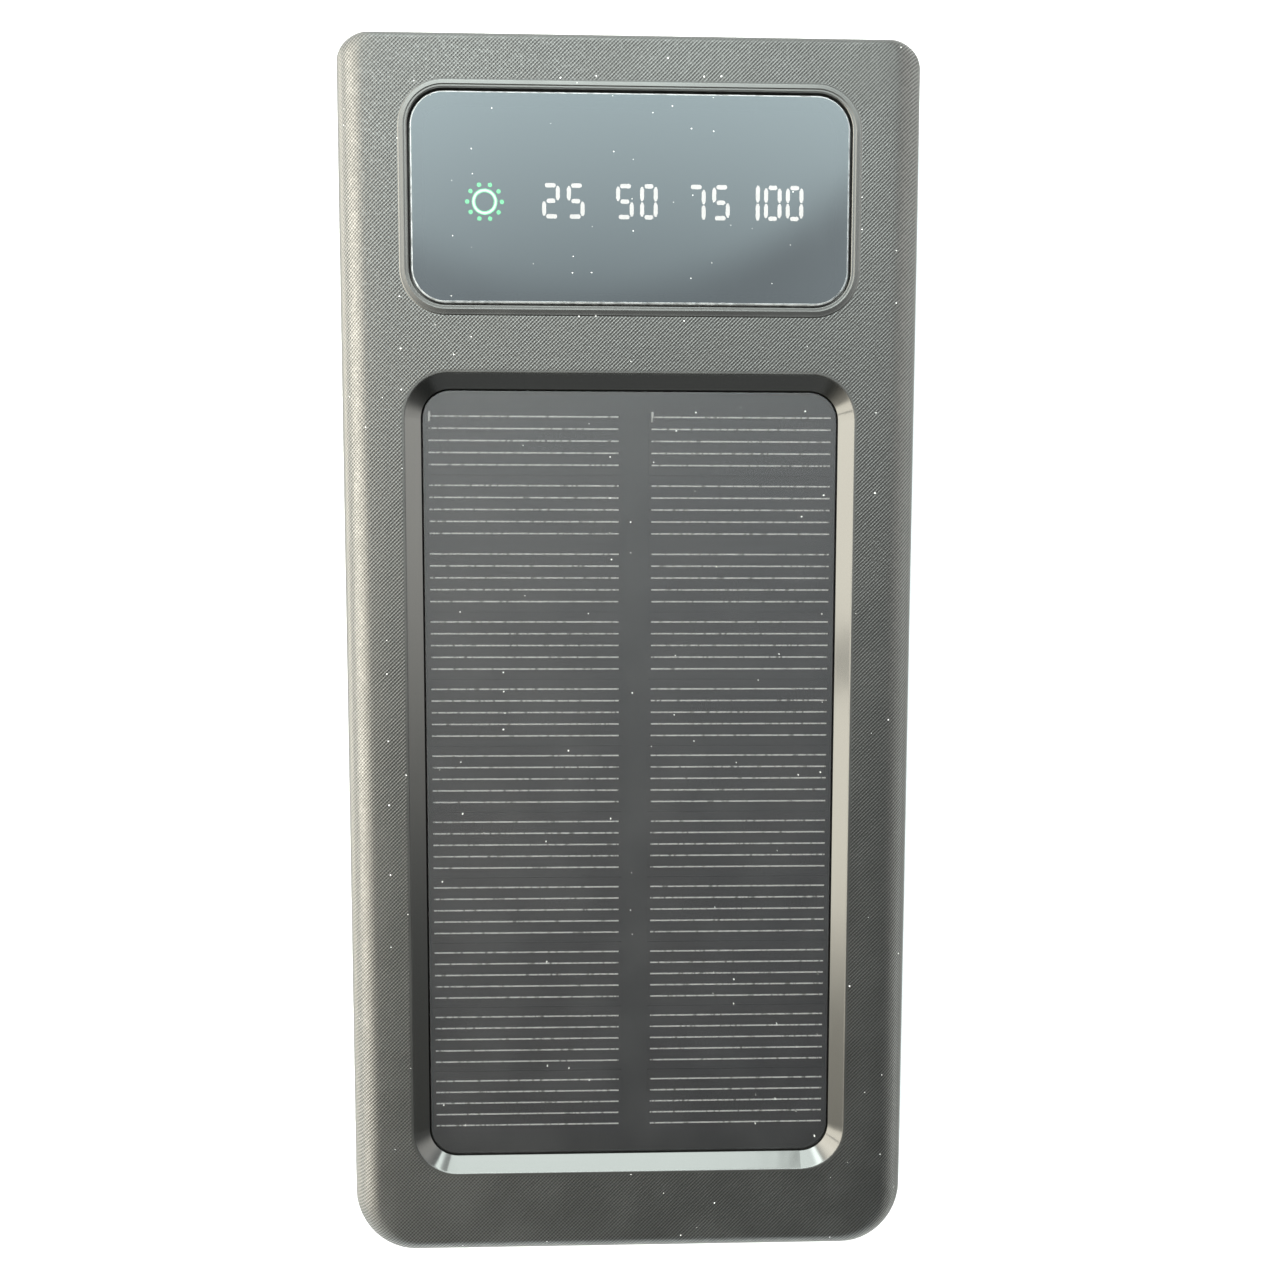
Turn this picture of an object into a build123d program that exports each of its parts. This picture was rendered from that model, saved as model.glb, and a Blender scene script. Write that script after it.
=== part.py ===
from build123d import *
import math
import os

# Solar phone charger: a slim clamshell power bank with a solar panel and a lit level display on its front.
# Millimetres. X runs across the case, +Y to the end with the sockets, +Z out of the front face.
# The origin is under the middle of the case, on the flat of the back cover.

os.makedirs("parts", exist_ok=True)

# Case
body_width = 70.0
body_length = 148.0
body_thickness = 17.0
wall = 1.8
side_round_width = 4.0
side_round_height = 4.5
top_corner_radius = 2.4
bottom_corner_radius = 6.7
top_edge_radius = 0.9
bottom_edge_radius = 1.8
round_steps = 9
joint_groove = 0.25
tongue_thickness = 0.8
tongue_height = 1.2
tongue_root = 0.5
fit_gap = 0.1
overcut = 1.0
pick = 0.01

# The joint of the two case halves runs through the middle of the sockets and of the button
port_height = 7.8

# Display window
window_width = 51.8
window_length = 24.4
window_from_top = 18.9
window_corner_radius = 4.15
window_gap = 0.3
lip_width = 1.15
lip_crest = 0.45
lip_height = 0.35
crest_radius = 0.14
lens_thickness = 1.1
lens_below_lip = 0.12
lens_bevel = 0.18
lens_ledge = 1.55
lens_glue = 0.15
light_skin = 0.15
light_gap = 0.03

# Lit symbols on the display
level_digits = {
    "25": (("2", -9.38), ("5", -6.48)),
    "50": (("5", -0.72), ("0", 2.10)),
    "75": (("7", 7.75), ("5", 10.59)),
    "100": (("1", 14.94), ("0", 16.71), ("0", 19.29)),
}
levels_from_top = 19.16
segment_across = 0.80
segment_up = 1.77
bar_length = 1.28
short_bar_length = 1.04
bar_thickness = 0.50
bar_slip = 0.08
stroke_length = 1.64
tall_stroke_length = 1.94
stroke_thickness = 0.48
stroke_tip = 0.34
seven_drop = 0.26
sun_x = -17.13
sun_from_top = 19.35
sun_ring_radius = 1.50
sun_hole_radius = 1.08
sun_ray_circle = 2.02
sun_ray_radius = 0.25
sun_rays = 10
sun_bridge_width = 0.5
sun_bridge_height = 0.5

# Light shade, light board and light-emitting diodes behind the lens
shade_gap = 0.2
shade_depth = 3.0
shade_side_gap = 0.4
light_well_depth = 2.6
light_well_margin = 0.55
light_board_thickness = 0.8
diode_length = 1.0
diode_width = 0.6
diode_height = 0.45
sun_diode_spacing = 2.4

# Solar panel and the sloped recess round it
recess_width = 53.7
recess_length = 98.6
recess_from_top = 39.0
recess_corner_radius = 5.3
recess_slope = 1.75
recess_depth = 1.2
recess_edge_radius = 0.3
panel_gap = 0.2
film_thickness = 0.25
film_edge_radius = 0.1
finger_height = 0.03
cell_thickness = 0.2
panel_board_thickness = 0.8
panel_glue = 0.3
panel_glue_width = 3.0
tray_floor = 1.2
tray_wall = 1.2
strip_pitch = 8.235
strip_gap = 0.12
fingers_per_strip = 5
finger_pitch = 1.44
finger_width = 0.17
first_finger_below_panel = 3.0
column_edge = 0.65
column_gap = 3.95
column_shift = 0.55
finger_inset = 0.35
finger_mark_width = 0.25
finger_mark_length = 1.25
cell_margin = 0.2
lead_hole_x = 19.0
lead_hole_below_panel = 4.6
lead_hole_width = 5.0
lead_hole_length = 3.0
lead_hole_radius = 1.0

# Screws of the case and of the main board
boss_side_inset = 5.4
boss_from_top = (34.0, 86.0, 140.0)
boss_radius = 2.5
screw_radius = 0.95
pilot_gap = 0.05
pilot_extra = 0.6
board_pilot_extra = 0.3
screw_clearance_radius = 1.2
screw_length = 10.0
screw_head_radius = 1.8
screw_head_height = 1.3
screw_head_edge = 0.5
screw_point = 0.4
counterbore_radius = 2.1
counterbore_depth = 3.0
cross_width = 0.45
cross_length = 2.0
cross_depth = 0.8
board_screw_length = 3.8

# Port panel in the top end
port_opening_width = 60.0
port_opening_height = 8.6
port_opening_radius = 1.6
port_panel_gap = 0.15
port_panel_inset = 0.25
port_panel_chamfer = 0.25
port_flange = 1.0
port_flange_thickness = 0.9

# USB sockets
usb_a_x = 13.0
usb_a_width = 13.1
usb_a_height = 5.72
usb_a_length = 14.0
usb_a_radius = 0.5
usb_a_inner_radius = 0.25
usb_skin = 0.3
usb_inset = 0.35
usb_hole_gap = 0.15
usb_a_tongue_side_gap = 0.7
usb_a_tongue_thickness = 1.84
usb_a_tongue_length = 8.8
usb_a_tongue_above = 0.6
usb_a_block_depth = 4.2
usb_a_block_radius = 0.2
usb_a_tongue_chamfer = 0.3
usb_a_contact_setback = 1.0
spring_x = 2.9
spring_from_mouth = 5.6
spring_width = 1.9
spring_length = 3.4
feet_from_mouth = (7.0, 12.0)
foot_reach = 1.1
foot_length = 1.8
usb_a_contact_offsets = (-3.5, -1.0, 1.0, 3.5)
usb_a_contact_width = 1.0
usb_contact_thickness = 0.12
usb_c_width = 8.94
usb_c_height = 3.26
usb_c_length = 7.3
usb_c_tongue_width = 6.6
usb_c_tongue_thickness = 0.7
usb_c_tongue_length = 4.5
usb_c_block_depth = 2.0
usb_c_tongue_chamfer = 0.15
usb_c_contact_setback = 0.8
usb_c_contacts = 12
usb_c_contact_pitch = 0.5
usb_c_contact_width = 0.24

# Torch lamps
torch_x = 25.5
torch_radius = 2.5
torch_flange_radius = 2.9
torch_flange_thickness = 1.0
torch_length = 8.6
torch_hole_gap = 0.15
torch_leg_spacing = 2.54
torch_leg_width = 0.5
torch_leg_reach = 1.9

# Main board
board_thickness = 1.2
board_half_width = 27.2
board_front_gap = 0.2
board_back_from_top = 29.0
board_step_half_width = 21.6
board_step_from_top = 10.2
board_slot_gap = 0.15
board_post_radius = 2.2
board_post_x = 23.3
board_posts_from_top = (13.6, 26.2)

# Components on the main board, placed by X and by the distance forward of the board's back edge
inductor_forward = 10.0
inductor_size = 7.3
inductor_corner = 0.8
inductor_height = 3.6
inductor_chamfer = 0.3
inductor_ring = (2.9, 2.3)
inductor_ring_depth = 0.2
control_chip_table = ((-14.5, 9.5, 5.0, 5.0), (13.5, 10.0, 4.9, 3.9), (12.0, 3.6, 3.0, 3.0))
control_chip_height = 1.1
chip_chamfer = 0.2
chip_dot_radius = 0.3
chip_dot_inset = 0.8
chip_dot_depth = 0.1
capacitor_table = ((-7.6, 7.0), (-7.6, 10.5), (7.4, 7.0), (7.4, 11.0), (-20.0, 8.0), (19.0, 9.0))
capacitor_width = 1.6
capacitor_length = 2.6
capacitor_height = 1.5
capacitor_edge = 0.15

# Power button and its switch
button_from_top = 19.5
button_length = 12.0
button_height = 4.4
button_gap = 0.2
button_travel = 0.4
button_flange = 0.9
button_flange_thickness = 1.0
button_stem = 3.0
dish_depth = 0.5
dish_margin = 1.6
button_proud = 0.2
switch_depth = 3.5
switch_length = 6.0
plunger_radius = 1.0
plunger_reach = 1.5
plunger_sunk = 0.5
plunger_gap = 0.08
plunger_clearance = 0.6
plunger_edge = 0.2
switch_chamfer = 0.2
button_edge_radius = 0.3
button_stem_radius = 0.4

# Battery
cell_width = 53.0
cell_length = 92.0
pouch_thickness = 5.0
pouch_corner = 2.5
pouch_edge = 1.0
pouch_above_bottom = 8.0
pouch_terrace = 3.4
terrace_side_inset = 9.6
terrace_root = 0.5
pouch_terrace_thickness = 0.5
middle_pad = 0.4
pad_inset = 4.0
pad_radius = 2.0
battery_top_gap = 0.3
tab_width = 5.0
tab_thickness = 0.15
tab_x = 12.0
tab_bend = 0.5
tab_rise_reach = 1.6
tab_overlap = 2.0
protection_length = 40.0
protection_width = 6.0
protection_thickness = 0.8
protection_from_pouch = 6.7
protection_chip_places = (-4.0, 0.5, 5.0)
protection_chip_size = 3.0
protection_chip_height = 0.9
protection_chip_chamfer = 0.15

# Leads
battery_lead_radius = 0.75
battery_lead_bend = 1.05
battery_lead_under_board = 0.3
battery_lead_starts = {"red": 11.0, "black": 8.0}
battery_lead_sweep = 7.0
battery_lead_out = 1.4
battery_lead_in = 1.6
solar_lead_radius = 0.55
solar_lead_bend = 1.2
solar_lead_lift = 2.0
solar_lead_spacing = 2.4
solar_lead_sweep = 2.0
solar_lead_run = 5.4
solar_lead_in = 2.4
ribbon_x = -17.0
ribbon_width = 6.0
ribbon_thickness = 0.2
ribbon_bend_radius = 1.2
ribbon_bend_from_top = 31.5
ribbon_on_light_board = 2.0
ribbon_on_main_board = 3.0

# Heights and places that follow from the sizes above
top_end = body_length / 2
inner_floor = wall
inner_ceiling = body_thickness - wall
window_y = top_end - window_from_top
levels_y = top_end - levels_from_top
sun_y = top_end - sun_from_top
lip_top = body_thickness + lip_height
lens_top = lip_top - lens_below_lip
lens_bottom = lens_top - lens_thickness
ledge_height = lens_bottom - lens_glue
shade_top = ledge_height - fit_gap
shade_flange_top = inner_ceiling - shade_gap
shade_bottom = shade_flange_top - shade_depth
well_roof = shade_bottom + light_well_depth
light_top = lens_top - light_skin
light_board_bottom = shade_bottom - light_board_thickness
recess_y = top_end - recess_from_top - recess_length / 2
panel_top = body_thickness - recess_depth
finger_top = panel_top - film_thickness
cell_top = finger_top - finger_height
panel_board_top = cell_top - cell_thickness
panel_board_bottom = panel_board_top - panel_board_thickness
tray_top = panel_board_bottom - panel_glue
tray_bottom = tray_top - tray_floor
panel_width = recess_width - 2 * (recess_slope + panel_gap)
panel_length = recess_length - 2 * (recess_slope + panel_gap)
strips = int((panel_length - first_finger_below_panel) / strip_pitch)
first_finger_y = recess_y + panel_length / 2 - first_finger_below_panel
boss_x = body_width / 2 - boss_side_inset
board_top = port_height - usb_c_height / 2
board_bottom = board_top - board_thickness
button_y = top_end - button_from_top
inner_side = body_width / 2 - wall
button_face = body_width / 2 - dish_depth + button_proud
button_back = inner_side - fit_gap
switch_face = board_half_width + fit_gap
plunger_tip = switch_face + plunger_reach
lead_hole_y = recess_y + panel_length / 2 - lead_hole_below_panel


def quarter_round(radius_across, radius_up, depth):
    """How far a rounded edge has pulled in at a depth below the flat that it runs into."""
    if depth >= radius_up:
        return 0.0
    rise = (radius_up - depth) / radius_up
    return radius_across * (1.0 - math.sqrt(1.0 - rise**2))


def case_outline(z, skin=0.0, trim=0.0):
    """Outline of the case at height z, of its outside or of the surface one skin below it."""
    depth = max(min(z, body_thickness - z) - skin, 0.0)
    side = quarter_round(side_round_width - skin, side_round_height - skin, depth)
    top_radius = max(top_edge_radius - skin, 0.001)
    bottom_radius = max(bottom_edge_radius - skin, 0.001)
    top = quarter_round(top_radius, top_radius, depth) if skin == 0 else 0.0
    bottom = quarter_round(bottom_radius, bottom_radius, depth) if skin == 0 else 0.0
    half = body_width / 2 - skin - trim - side
    high = body_length / 2 - skin - trim - top
    low = -body_length / 2 + skin + trim + bottom
    high_radius = max(top_corner_radius - skin - trim - top, 0.5)
    low_radius = max(bottom_corner_radius - skin - trim - bottom, 0.5)
    with BuildSketch(Plane.XY.offset(z)) as outline:
        with BuildLine():
            FilletPolyline(
                (half, low), (half, high), (-half, high), (-half, low),
                radius=[low_radius, high_radius, high_radius, low_radius],
                close=True,
            )
        make_face()
    return outline.sketch.faces()[0]


def rounding_depths(skin=0.0):
    """Depths below the flat at which the rounded edges are sectioned, deepest first."""
    rises = [side_round_height - skin]
    if skin == 0:
        rises += [top_edge_radius, bottom_edge_radius]
    found = {0.0}
    for rise in rises:
        for step in range(round_steps):
            found.add(round(rise * (1.0 - math.sin(math.pi / 2 * step / round_steps)), 3))
    return [skin + depth for depth in sorted(found, reverse=True)]


def round_rectangle(plane, width, height, radius):
    """A rounded rectangle on a plane, as one face."""
    with BuildSketch(plane) as shape:
        RectangleRounded(width, height, radius)
    return shape.sketch.faces()[0]


def window_shape(z, grow):
    """The display window's outline at height z, grown by a margin all round."""
    plane = Plane.XY.offset(z).move(Location((0, window_y, 0)))
    radius = window_corner_radius + grow
    return round_rectangle(plane, window_width + 2 * grow, window_length + 2 * grow, radius)


def recess_shape(z, shrink):
    """The solar recess's outline at height z, drawn in by a margin all round."""
    plane = Plane.XY.offset(z).move(Location((0, recess_y, 0)))
    radius = recess_corner_radius - shrink
    return round_rectangle(plane, recess_width - 2 * shrink, recess_length - 2 * shrink, radius)


def end_plane(y, x=0.0, z=port_height):
    """A plane across the case at y, drawn as seen from the bottom end; extrusion runs to -Y."""
    return Plane(origin=(x, y, z), x_dir=(1, 0, 0), z_dir=(0, -1, 0))


def side_plane(x):
    """A plane along the right side, centred on the button; extrusion runs to +X."""
    return Plane(origin=(x, button_y, port_height), x_dir=(0, 1, 0), z_dir=(1, 0, 0))


def button_opening():
    """The cutter for the button: a shallow finger dish and a slot through the wall."""
    with BuildPart() as cutter:
        with BuildSketch(side_plane(inner_side - overcut)):
            SlotOverall(button_length + 2 * button_gap, button_height + 2 * button_gap)
        extrude(amount=wall + 2 * overcut)
        dish_outer = side_plane(body_width / 2 + dish_depth)
        dish_inner = side_plane(body_width / 2 - dish_depth)
        with BuildSketch(dish_outer):
            SlotOverall(button_length + 4 * dish_margin, button_height + 4 * dish_margin)
        with BuildSketch(dish_inner):
            SlotOverall(button_length + 2 * dish_margin, button_height + 2 * dish_margin)
        loft(ruled=True)
    return cutter.part


def port_opening():
    """The cutter for the opening in the end wall that holds the port panel."""
    with BuildPart() as cutter:
        with BuildSketch(end_plane(top_end + overcut)):
            RectangleRounded(port_opening_width, port_opening_height, port_opening_radius)
        extrude(amount=wall + 2 * overcut)
    return cutter.part


# --- Case -----------------------------------------------------------------------------------------

boss_places = [(side * boss_x, top_end - down) for side in (-1, 1) for down in boss_from_top]
groove_top = port_height + joint_groove
front_round_start = body_thickness - side_round_height

with BuildPart() as front_housing:
    # Outside: a small groove at the joint, the upright band and the rounded front
    groove_low = case_outline(port_height, trim=joint_groove)
    loft(sections=[groove_low, case_outline(groove_top)], ruled=True)
    extrude(case_outline(groove_top), amount=front_round_start - groove_top)
    front_depths = rounding_depths()
    loft(sections=[case_outline(body_thickness - depth) for depth in front_depths], ruled=True)
    # Hollow, with the rebate that takes the back cover's tongue
    extrude(
        case_outline(port_height, skin=wall),
        amount=front_round_start - port_height,
        mode=Mode.SUBTRACT,
    )
    loft(
        sections=[case_outline(body_thickness - depth, skin=wall) for depth in rounding_depths(wall)],
        ruled=True,
        mode=Mode.SUBTRACT,
    )
    rebate_trim = wall - tongue_thickness - fit_gap
    extrude(
        case_outline(port_height, trim=rebate_trim),
        amount=tongue_height + fit_gap,
        mode=Mode.SUBTRACT,
    )
    # Tray under the solar panel, then the sloped recess and the pocket that holds the panel
    tray_shrink = recess_slope - tray_wall
    extrude(recess_shape(tray_bottom, tray_shrink), amount=inner_ceiling - tray_bottom + wall / 2)
    loft(
        sections=[recess_shape(body_thickness, 0), recess_shape(panel_top, recess_slope)],
        ruled=True,
        mode=Mode.SUBTRACT,
    )
    extrude(recess_shape(tray_top, recess_slope), amount=panel_top - tray_top, mode=Mode.SUBTRACT)
    rim_x = recess_width / 2 + pick
    rim_y = recess_length / 2 + pick
    recess_rim = (
        front_housing.edges()
        .filter_by_position(Axis.Z, body_thickness - pick, body_thickness + pick)
        .filter_by_position(Axis.X, -rim_x, rim_x)
        .filter_by_position(Axis.Y, recess_y - rim_y, recess_y + rim_y)
    )
    fillet(recess_rim, radius=recess_edge_radius)
    # Raised lip round the display, its pocket for the lens and the opening behind the lens
    opening_grow = window_gap / 2
    loft(
        sections=[
            window_shape(body_thickness, opening_grow + lip_width),
            window_shape(lip_top, opening_grow + lip_crest),
        ],
        ruled=True,
    )
    extrude(
        window_shape(ledge_height, opening_grow),
        amount=lip_top - ledge_height,
        mode=Mode.SUBTRACT,
    )
    crest = front_housing.edges().filter_by_position(Axis.Z, lip_top - pick, lip_top + pick)
    fillet(crest, radius=crest_radius)
    extrude(
        window_shape(inner_ceiling - overcut, -lens_ledge),
        amount=ledge_height - inner_ceiling + overcut,
        mode=Mode.SUBTRACT,
    )
    # Screw bosses
    with BuildSketch(Plane.XY.offset(port_height)):
        with Locations(*boss_places):
            Circle(boss_radius)
    extrude(amount=inner_ceiling - port_height + wall / 4)
    with BuildSketch(Plane.XY.offset(port_height)):
        with Locations(*boss_places):
            Circle(screw_radius + pilot_gap)
    extrude(amount=screw_length - (port_height - counterbore_depth) + pilot_extra, mode=Mode.SUBTRACT)
    # Passage for the solar leads
    with BuildSketch(Plane.XY.offset(tray_bottom - overcut)):
        with Locations((lead_hole_x, lead_hole_y)):
            RectangleRounded(lead_hole_width, lead_hole_length, lead_hole_radius)
    extrude(amount=tray_floor + 2 * overcut, mode=Mode.SUBTRACT)
    add(port_opening(), mode=Mode.SUBTRACT)
    add(button_opening(), mode=Mode.SUBTRACT)

front_housing.part.label = "front_housing"
export_step(front_housing.part, "parts/front_housing.step")


post_places = [(side * board_post_x, top_end - down) for side in (-1, 1) for down in board_posts_from_top]
groove_bottom = port_height - joint_groove

with BuildPart() as back_cover:
    back_depths = sorted(rounding_depths())
    loft(sections=[case_outline(depth) for depth in back_depths], ruled=True)
    extrude(case_outline(side_round_height), amount=groove_bottom - side_round_height)
    loft(sections=[case_outline(groove_bottom), case_outline(port_height, trim=joint_groove)], ruled=True)
    # Tongue that stands up inside the front housing
    tongue_trim = wall - tongue_thickness
    extrude(case_outline(port_height - tongue_root, trim=tongue_trim), amount=tongue_height + tongue_root)
    # Hollow
    loft(
        sections=[case_outline(depth, skin=wall) for depth in sorted(rounding_depths(wall))],
        ruled=True,
        mode=Mode.SUBTRACT,
    )
    extrude(
        case_outline(side_round_height, skin=wall),
        amount=port_height + tongue_height - side_round_height,
        mode=Mode.SUBTRACT,
    )
    # Screw pillars with counterbores from outside
    with BuildSketch(Plane.XY.offset(inner_floor - wall / 4)):
        with Locations(*boss_places):
            Circle(boss_radius)
    extrude(amount=port_height - fit_gap - inner_floor + wall / 4)
    with Locations(*[(x, y, 0) for x, y in boss_places]):
        with Locations(Location((0, 0, 0), (180, 0, 0))):
            CounterBoreHole(screw_clearance_radius, counterbore_radius, counterbore_depth, body_thickness)
    # Posts that carry the main board
    with BuildSketch(Plane.XY.offset(inner_floor - wall / 4)):
        with Locations(*post_places):
            Circle(board_post_radius)
    extrude(amount=board_bottom - inner_floor + wall / 4)
    with BuildSketch(Plane.XY.offset(board_bottom)):
        with Locations(*post_places):
            Circle(screw_radius + pilot_gap)
    extrude(amount=-(board_screw_length - board_thickness + board_pilot_extra), mode=Mode.SUBTRACT)
    add(port_opening(), mode=Mode.SUBTRACT)
    add(button_opening(), mode=Mode.SUBTRACT)

back_cover.part.label = "back_cover"
export_step(back_cover.part, "parts/back_cover.step")


def screw(length):
    """A small pan-head screw, head up, with its shank running down from the origin."""
    with BuildPart() as body:
        Cylinder(screw_head_radius, screw_head_height, align=(Align.CENTER, Align.CENTER, Align.MIN))
        fillet(body.edges().group_by(Axis.Z)[-1], radius=screw_head_edge)
        Cylinder(screw_radius, length, align=(Align.CENTER, Align.CENTER, Align.MAX))
        chamfer(body.edges().group_by(Axis.Z)[0], length=screw_point)
        with BuildSketch(Plane.XY.offset(screw_head_height)):
            Rectangle(cross_length, cross_width)
            Rectangle(cross_width, cross_length)
        extrude(amount=-cross_depth, mode=Mode.SUBTRACT)
    return body.part


case_screw = Plane.XY.rotated((180, 0, 0)) * screw(screw_length)
board_screw = screw(board_screw_length)

with BuildPart() as case_screws:
    with Locations(*[(x, y, counterbore_depth) for x, y in boss_places]):
        add(case_screw)

case_screws.part.label = "case_screws"
export_step(case_screws.part, "parts/case_screws.step")

with BuildPart() as board_screws:
    with Locations(*[(x, y, board_top) for x, y in post_places]):
        add(board_screw)

board_screws.part.label = "board_screws"
export_step(board_screws.part, "parts/board_screws.step")


# --- Port panel and sockets -----------------------------------------------------------------------

panel_face = top_end - port_panel_inset
flange_face = top_end - wall - fit_gap
usb_front = top_end - usb_inset
usb_a_places = [(-usb_a_x, 0), (usb_a_x, 0)]
torch_places = [(-torch_x, 0), (torch_x, 0)]

with BuildPart() as port_panel:
    with BuildSketch(end_plane(panel_face)):
        RectangleRounded(
            port_opening_width - 2 * port_panel_gap,
            port_opening_height - 2 * port_panel_gap,
            port_opening_radius - port_panel_gap,
        )
    extrude(amount=panel_face - flange_face)
    chamfer(port_panel.edges().group_by(Axis.Y)[-1], length=port_panel_chamfer)
    with BuildSketch(end_plane(flange_face)):
        RectangleRounded(
            port_opening_width + 2 * port_flange,
            port_opening_height + 2 * port_flange,
            port_opening_radius + port_flange,
        )
    extrude(amount=port_flange_thickness)
    with BuildSketch(end_plane(top_end)):
        with Locations(*usb_a_places):
            RectangleRounded(
                usb_a_width + 2 * usb_hole_gap,
                usb_a_height + 2 * usb_hole_gap,
                usb_a_radius + usb_hole_gap,
            )
        SlotOverall(usb_c_width + 2 * usb_hole_gap, usb_c_height + 2 * usb_hole_gap)
        with Locations(*torch_places):
            Circle(torch_radius + torch_hole_gap)
    extrude(amount=top_end - flange_face + port_flange_thickness + overcut, mode=Mode.SUBTRACT)

port_panel.part.label = "port_panel"
export_step(port_panel.part, "parts/port_panel.step")


usb_a_inner_top = usb_a_height / 2 - usb_skin
usb_a_tongue_middle = usb_a_inner_top - usb_a_tongue_above - usb_a_tongue_thickness / 2
usb_a_block_face = usb_a_length - usb_skin - fit_gap - usb_a_block_depth
usb_a_tongue_width = usb_a_width - 2 * (usb_skin + usb_a_tongue_side_gap)

for side_name, socket_x in (("left", -usb_a_x), ("right", usb_a_x)):
    with BuildPart() as usb_a_shell:
        with BuildSketch(end_plane(usb_front, socket_x)):
            RectangleRounded(usb_a_width, usb_a_height, usb_a_radius)
        extrude(amount=usb_a_length)
        with BuildSketch(end_plane(usb_front, socket_x)):
            RectangleRounded(
                usb_a_width - 2 * usb_skin, usb_a_height - 2 * usb_skin, usb_a_inner_radius
            )
        extrude(amount=usb_a_length - usb_skin, mode=Mode.SUBTRACT)
        # Spring windows in the roof and floor, two each
        with BuildSketch(Plane.XY.offset(port_height - usb_a_height)):
            with Locations((socket_x, usb_front - spring_from_mouth)):
                with Locations((-spring_x, 0), (spring_x, 0)):
                    Rectangle(spring_width, spring_length)
        extrude(amount=2 * usb_a_height, mode=Mode.SUBTRACT)
        # Feet that rest on the main board beside the slot
        with BuildSketch(Plane.XY.offset(board_top)):
            foot_x = (usb_a_width + foot_reach) / 2
            with Locations(*[(socket_x, usb_front - back) for back in feet_from_mouth]):
                with Locations((-foot_x, 0), (foot_x, 0)):
                    Rectangle(foot_reach, foot_length)
        extrude(amount=usb_skin)

    usb_a_shell.part.label = f"usb_a_shell_{side_name}"
    export_step(usb_a_shell.part, f"parts/usb_a_shell_{side_name}.step")

with BuildPart() as usb_a_tongues:
    with BuildSketch(end_plane(usb_front - usb_a_block_face)):
        with Locations(*usb_a_places):
            RectangleRounded(
                usb_a_width - 2 * (usb_skin + fit_gap),
                usb_a_height - 2 * (usb_skin + fit_gap),
                usb_a_block_radius,
            )
    extrude(amount=usb_a_block_depth)
    with BuildSketch(end_plane(usb_front - usb_a_block_face)):
        with Locations(*[(x, usb_a_tongue_middle) for x, _ in usb_a_places]):
            Rectangle(usb_a_tongue_width, usb_a_tongue_thickness)
    extrude(amount=-usb_a_tongue_length)
    chamfer(usb_a_tongues.edges().group_by(Axis.Y)[-1], length=usb_a_tongue_chamfer)

usb_a_tongues.part.label = "usb_a_tongues"
export_step(usb_a_tongues.part, "parts/usb_a_tongues.step")

with BuildPart() as usb_a_contacts:
    contact_middle = usb_a_tongue_middle - (usb_a_tongue_thickness + usb_contact_thickness) / 2
    with BuildSketch(end_plane(usb_front - usb_a_block_face)):
        with Locations(*[(x + dx, contact_middle) for x, _ in usb_a_places for dx in usb_a_contact_offsets]):
            Rectangle(usb_a_contact_width, usb_contact_thickness)
    extrude(amount=-(usb_a_tongue_length - usb_a_contact_setback))

usb_a_contacts.part.label = "usb_a_contacts"
export_step(usb_a_contacts.part, "parts/usb_a_contacts.step")

with BuildPart() as usb_c_shell:
    with BuildSketch(end_plane(usb_front)):
        SlotOverall(usb_c_width, usb_c_height)
    extrude(amount=usb_c_length)
    with BuildSketch(end_plane(usb_front)):
        SlotOverall(usb_c_width - 2 * usb_skin, usb_c_height - 2 * usb_skin)
    extrude(amount=usb_c_length - usb_skin, mode=Mode.SUBTRACT)

usb_c_shell.part.label = "usb_c_shell"
export_step(usb_c_shell.part, "parts/usb_c_shell.step")

usb_c_block_face = usb_front - (usb_c_length - usb_skin - fit_gap - usb_c_block_depth)

with BuildPart() as usb_c_tongue:
    with BuildSketch(end_plane(usb_c_block_face)):
        SlotOverall(usb_c_width - 2 * (usb_skin + fit_gap), usb_c_height - 2 * (usb_skin + fit_gap))
    extrude(amount=usb_c_block_depth)
    with BuildSketch(end_plane(usb_c_block_face)):
        Rectangle(usb_c_tongue_width, usb_c_tongue_thickness)
    extrude(amount=-usb_c_tongue_length)
    chamfer(usb_c_tongue.edges().group_by(Axis.Y)[-1], length=usb_c_tongue_chamfer)

usb_c_tongue.part.label = "usb_c_tongue"
export_step(usb_c_tongue.part, "parts/usb_c_tongue.step")

with BuildPart() as usb_c_pins:
    usb_c_contact_height = (usb_c_tongue_thickness + usb_contact_thickness) / 2
    with BuildSketch(end_plane(usb_c_block_face)):
        for row in (-1, 1):
            with Locations((0, row * usb_c_contact_height)):
                with GridLocations(usb_c_contact_pitch, 1, usb_c_contacts, 1):
                    Rectangle(usb_c_contact_width, usb_contact_thickness)
    extrude(amount=-(usb_c_tongue_length - usb_c_contact_setback))

usb_c_pins.part.label = "usb_c_contacts"
export_step(usb_c_pins.part, "parts/usb_c_contacts.step")


# --- Torch lamps ----------------------------------------------------------------------------------

torch_rear = usb_front - torch_length

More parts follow.
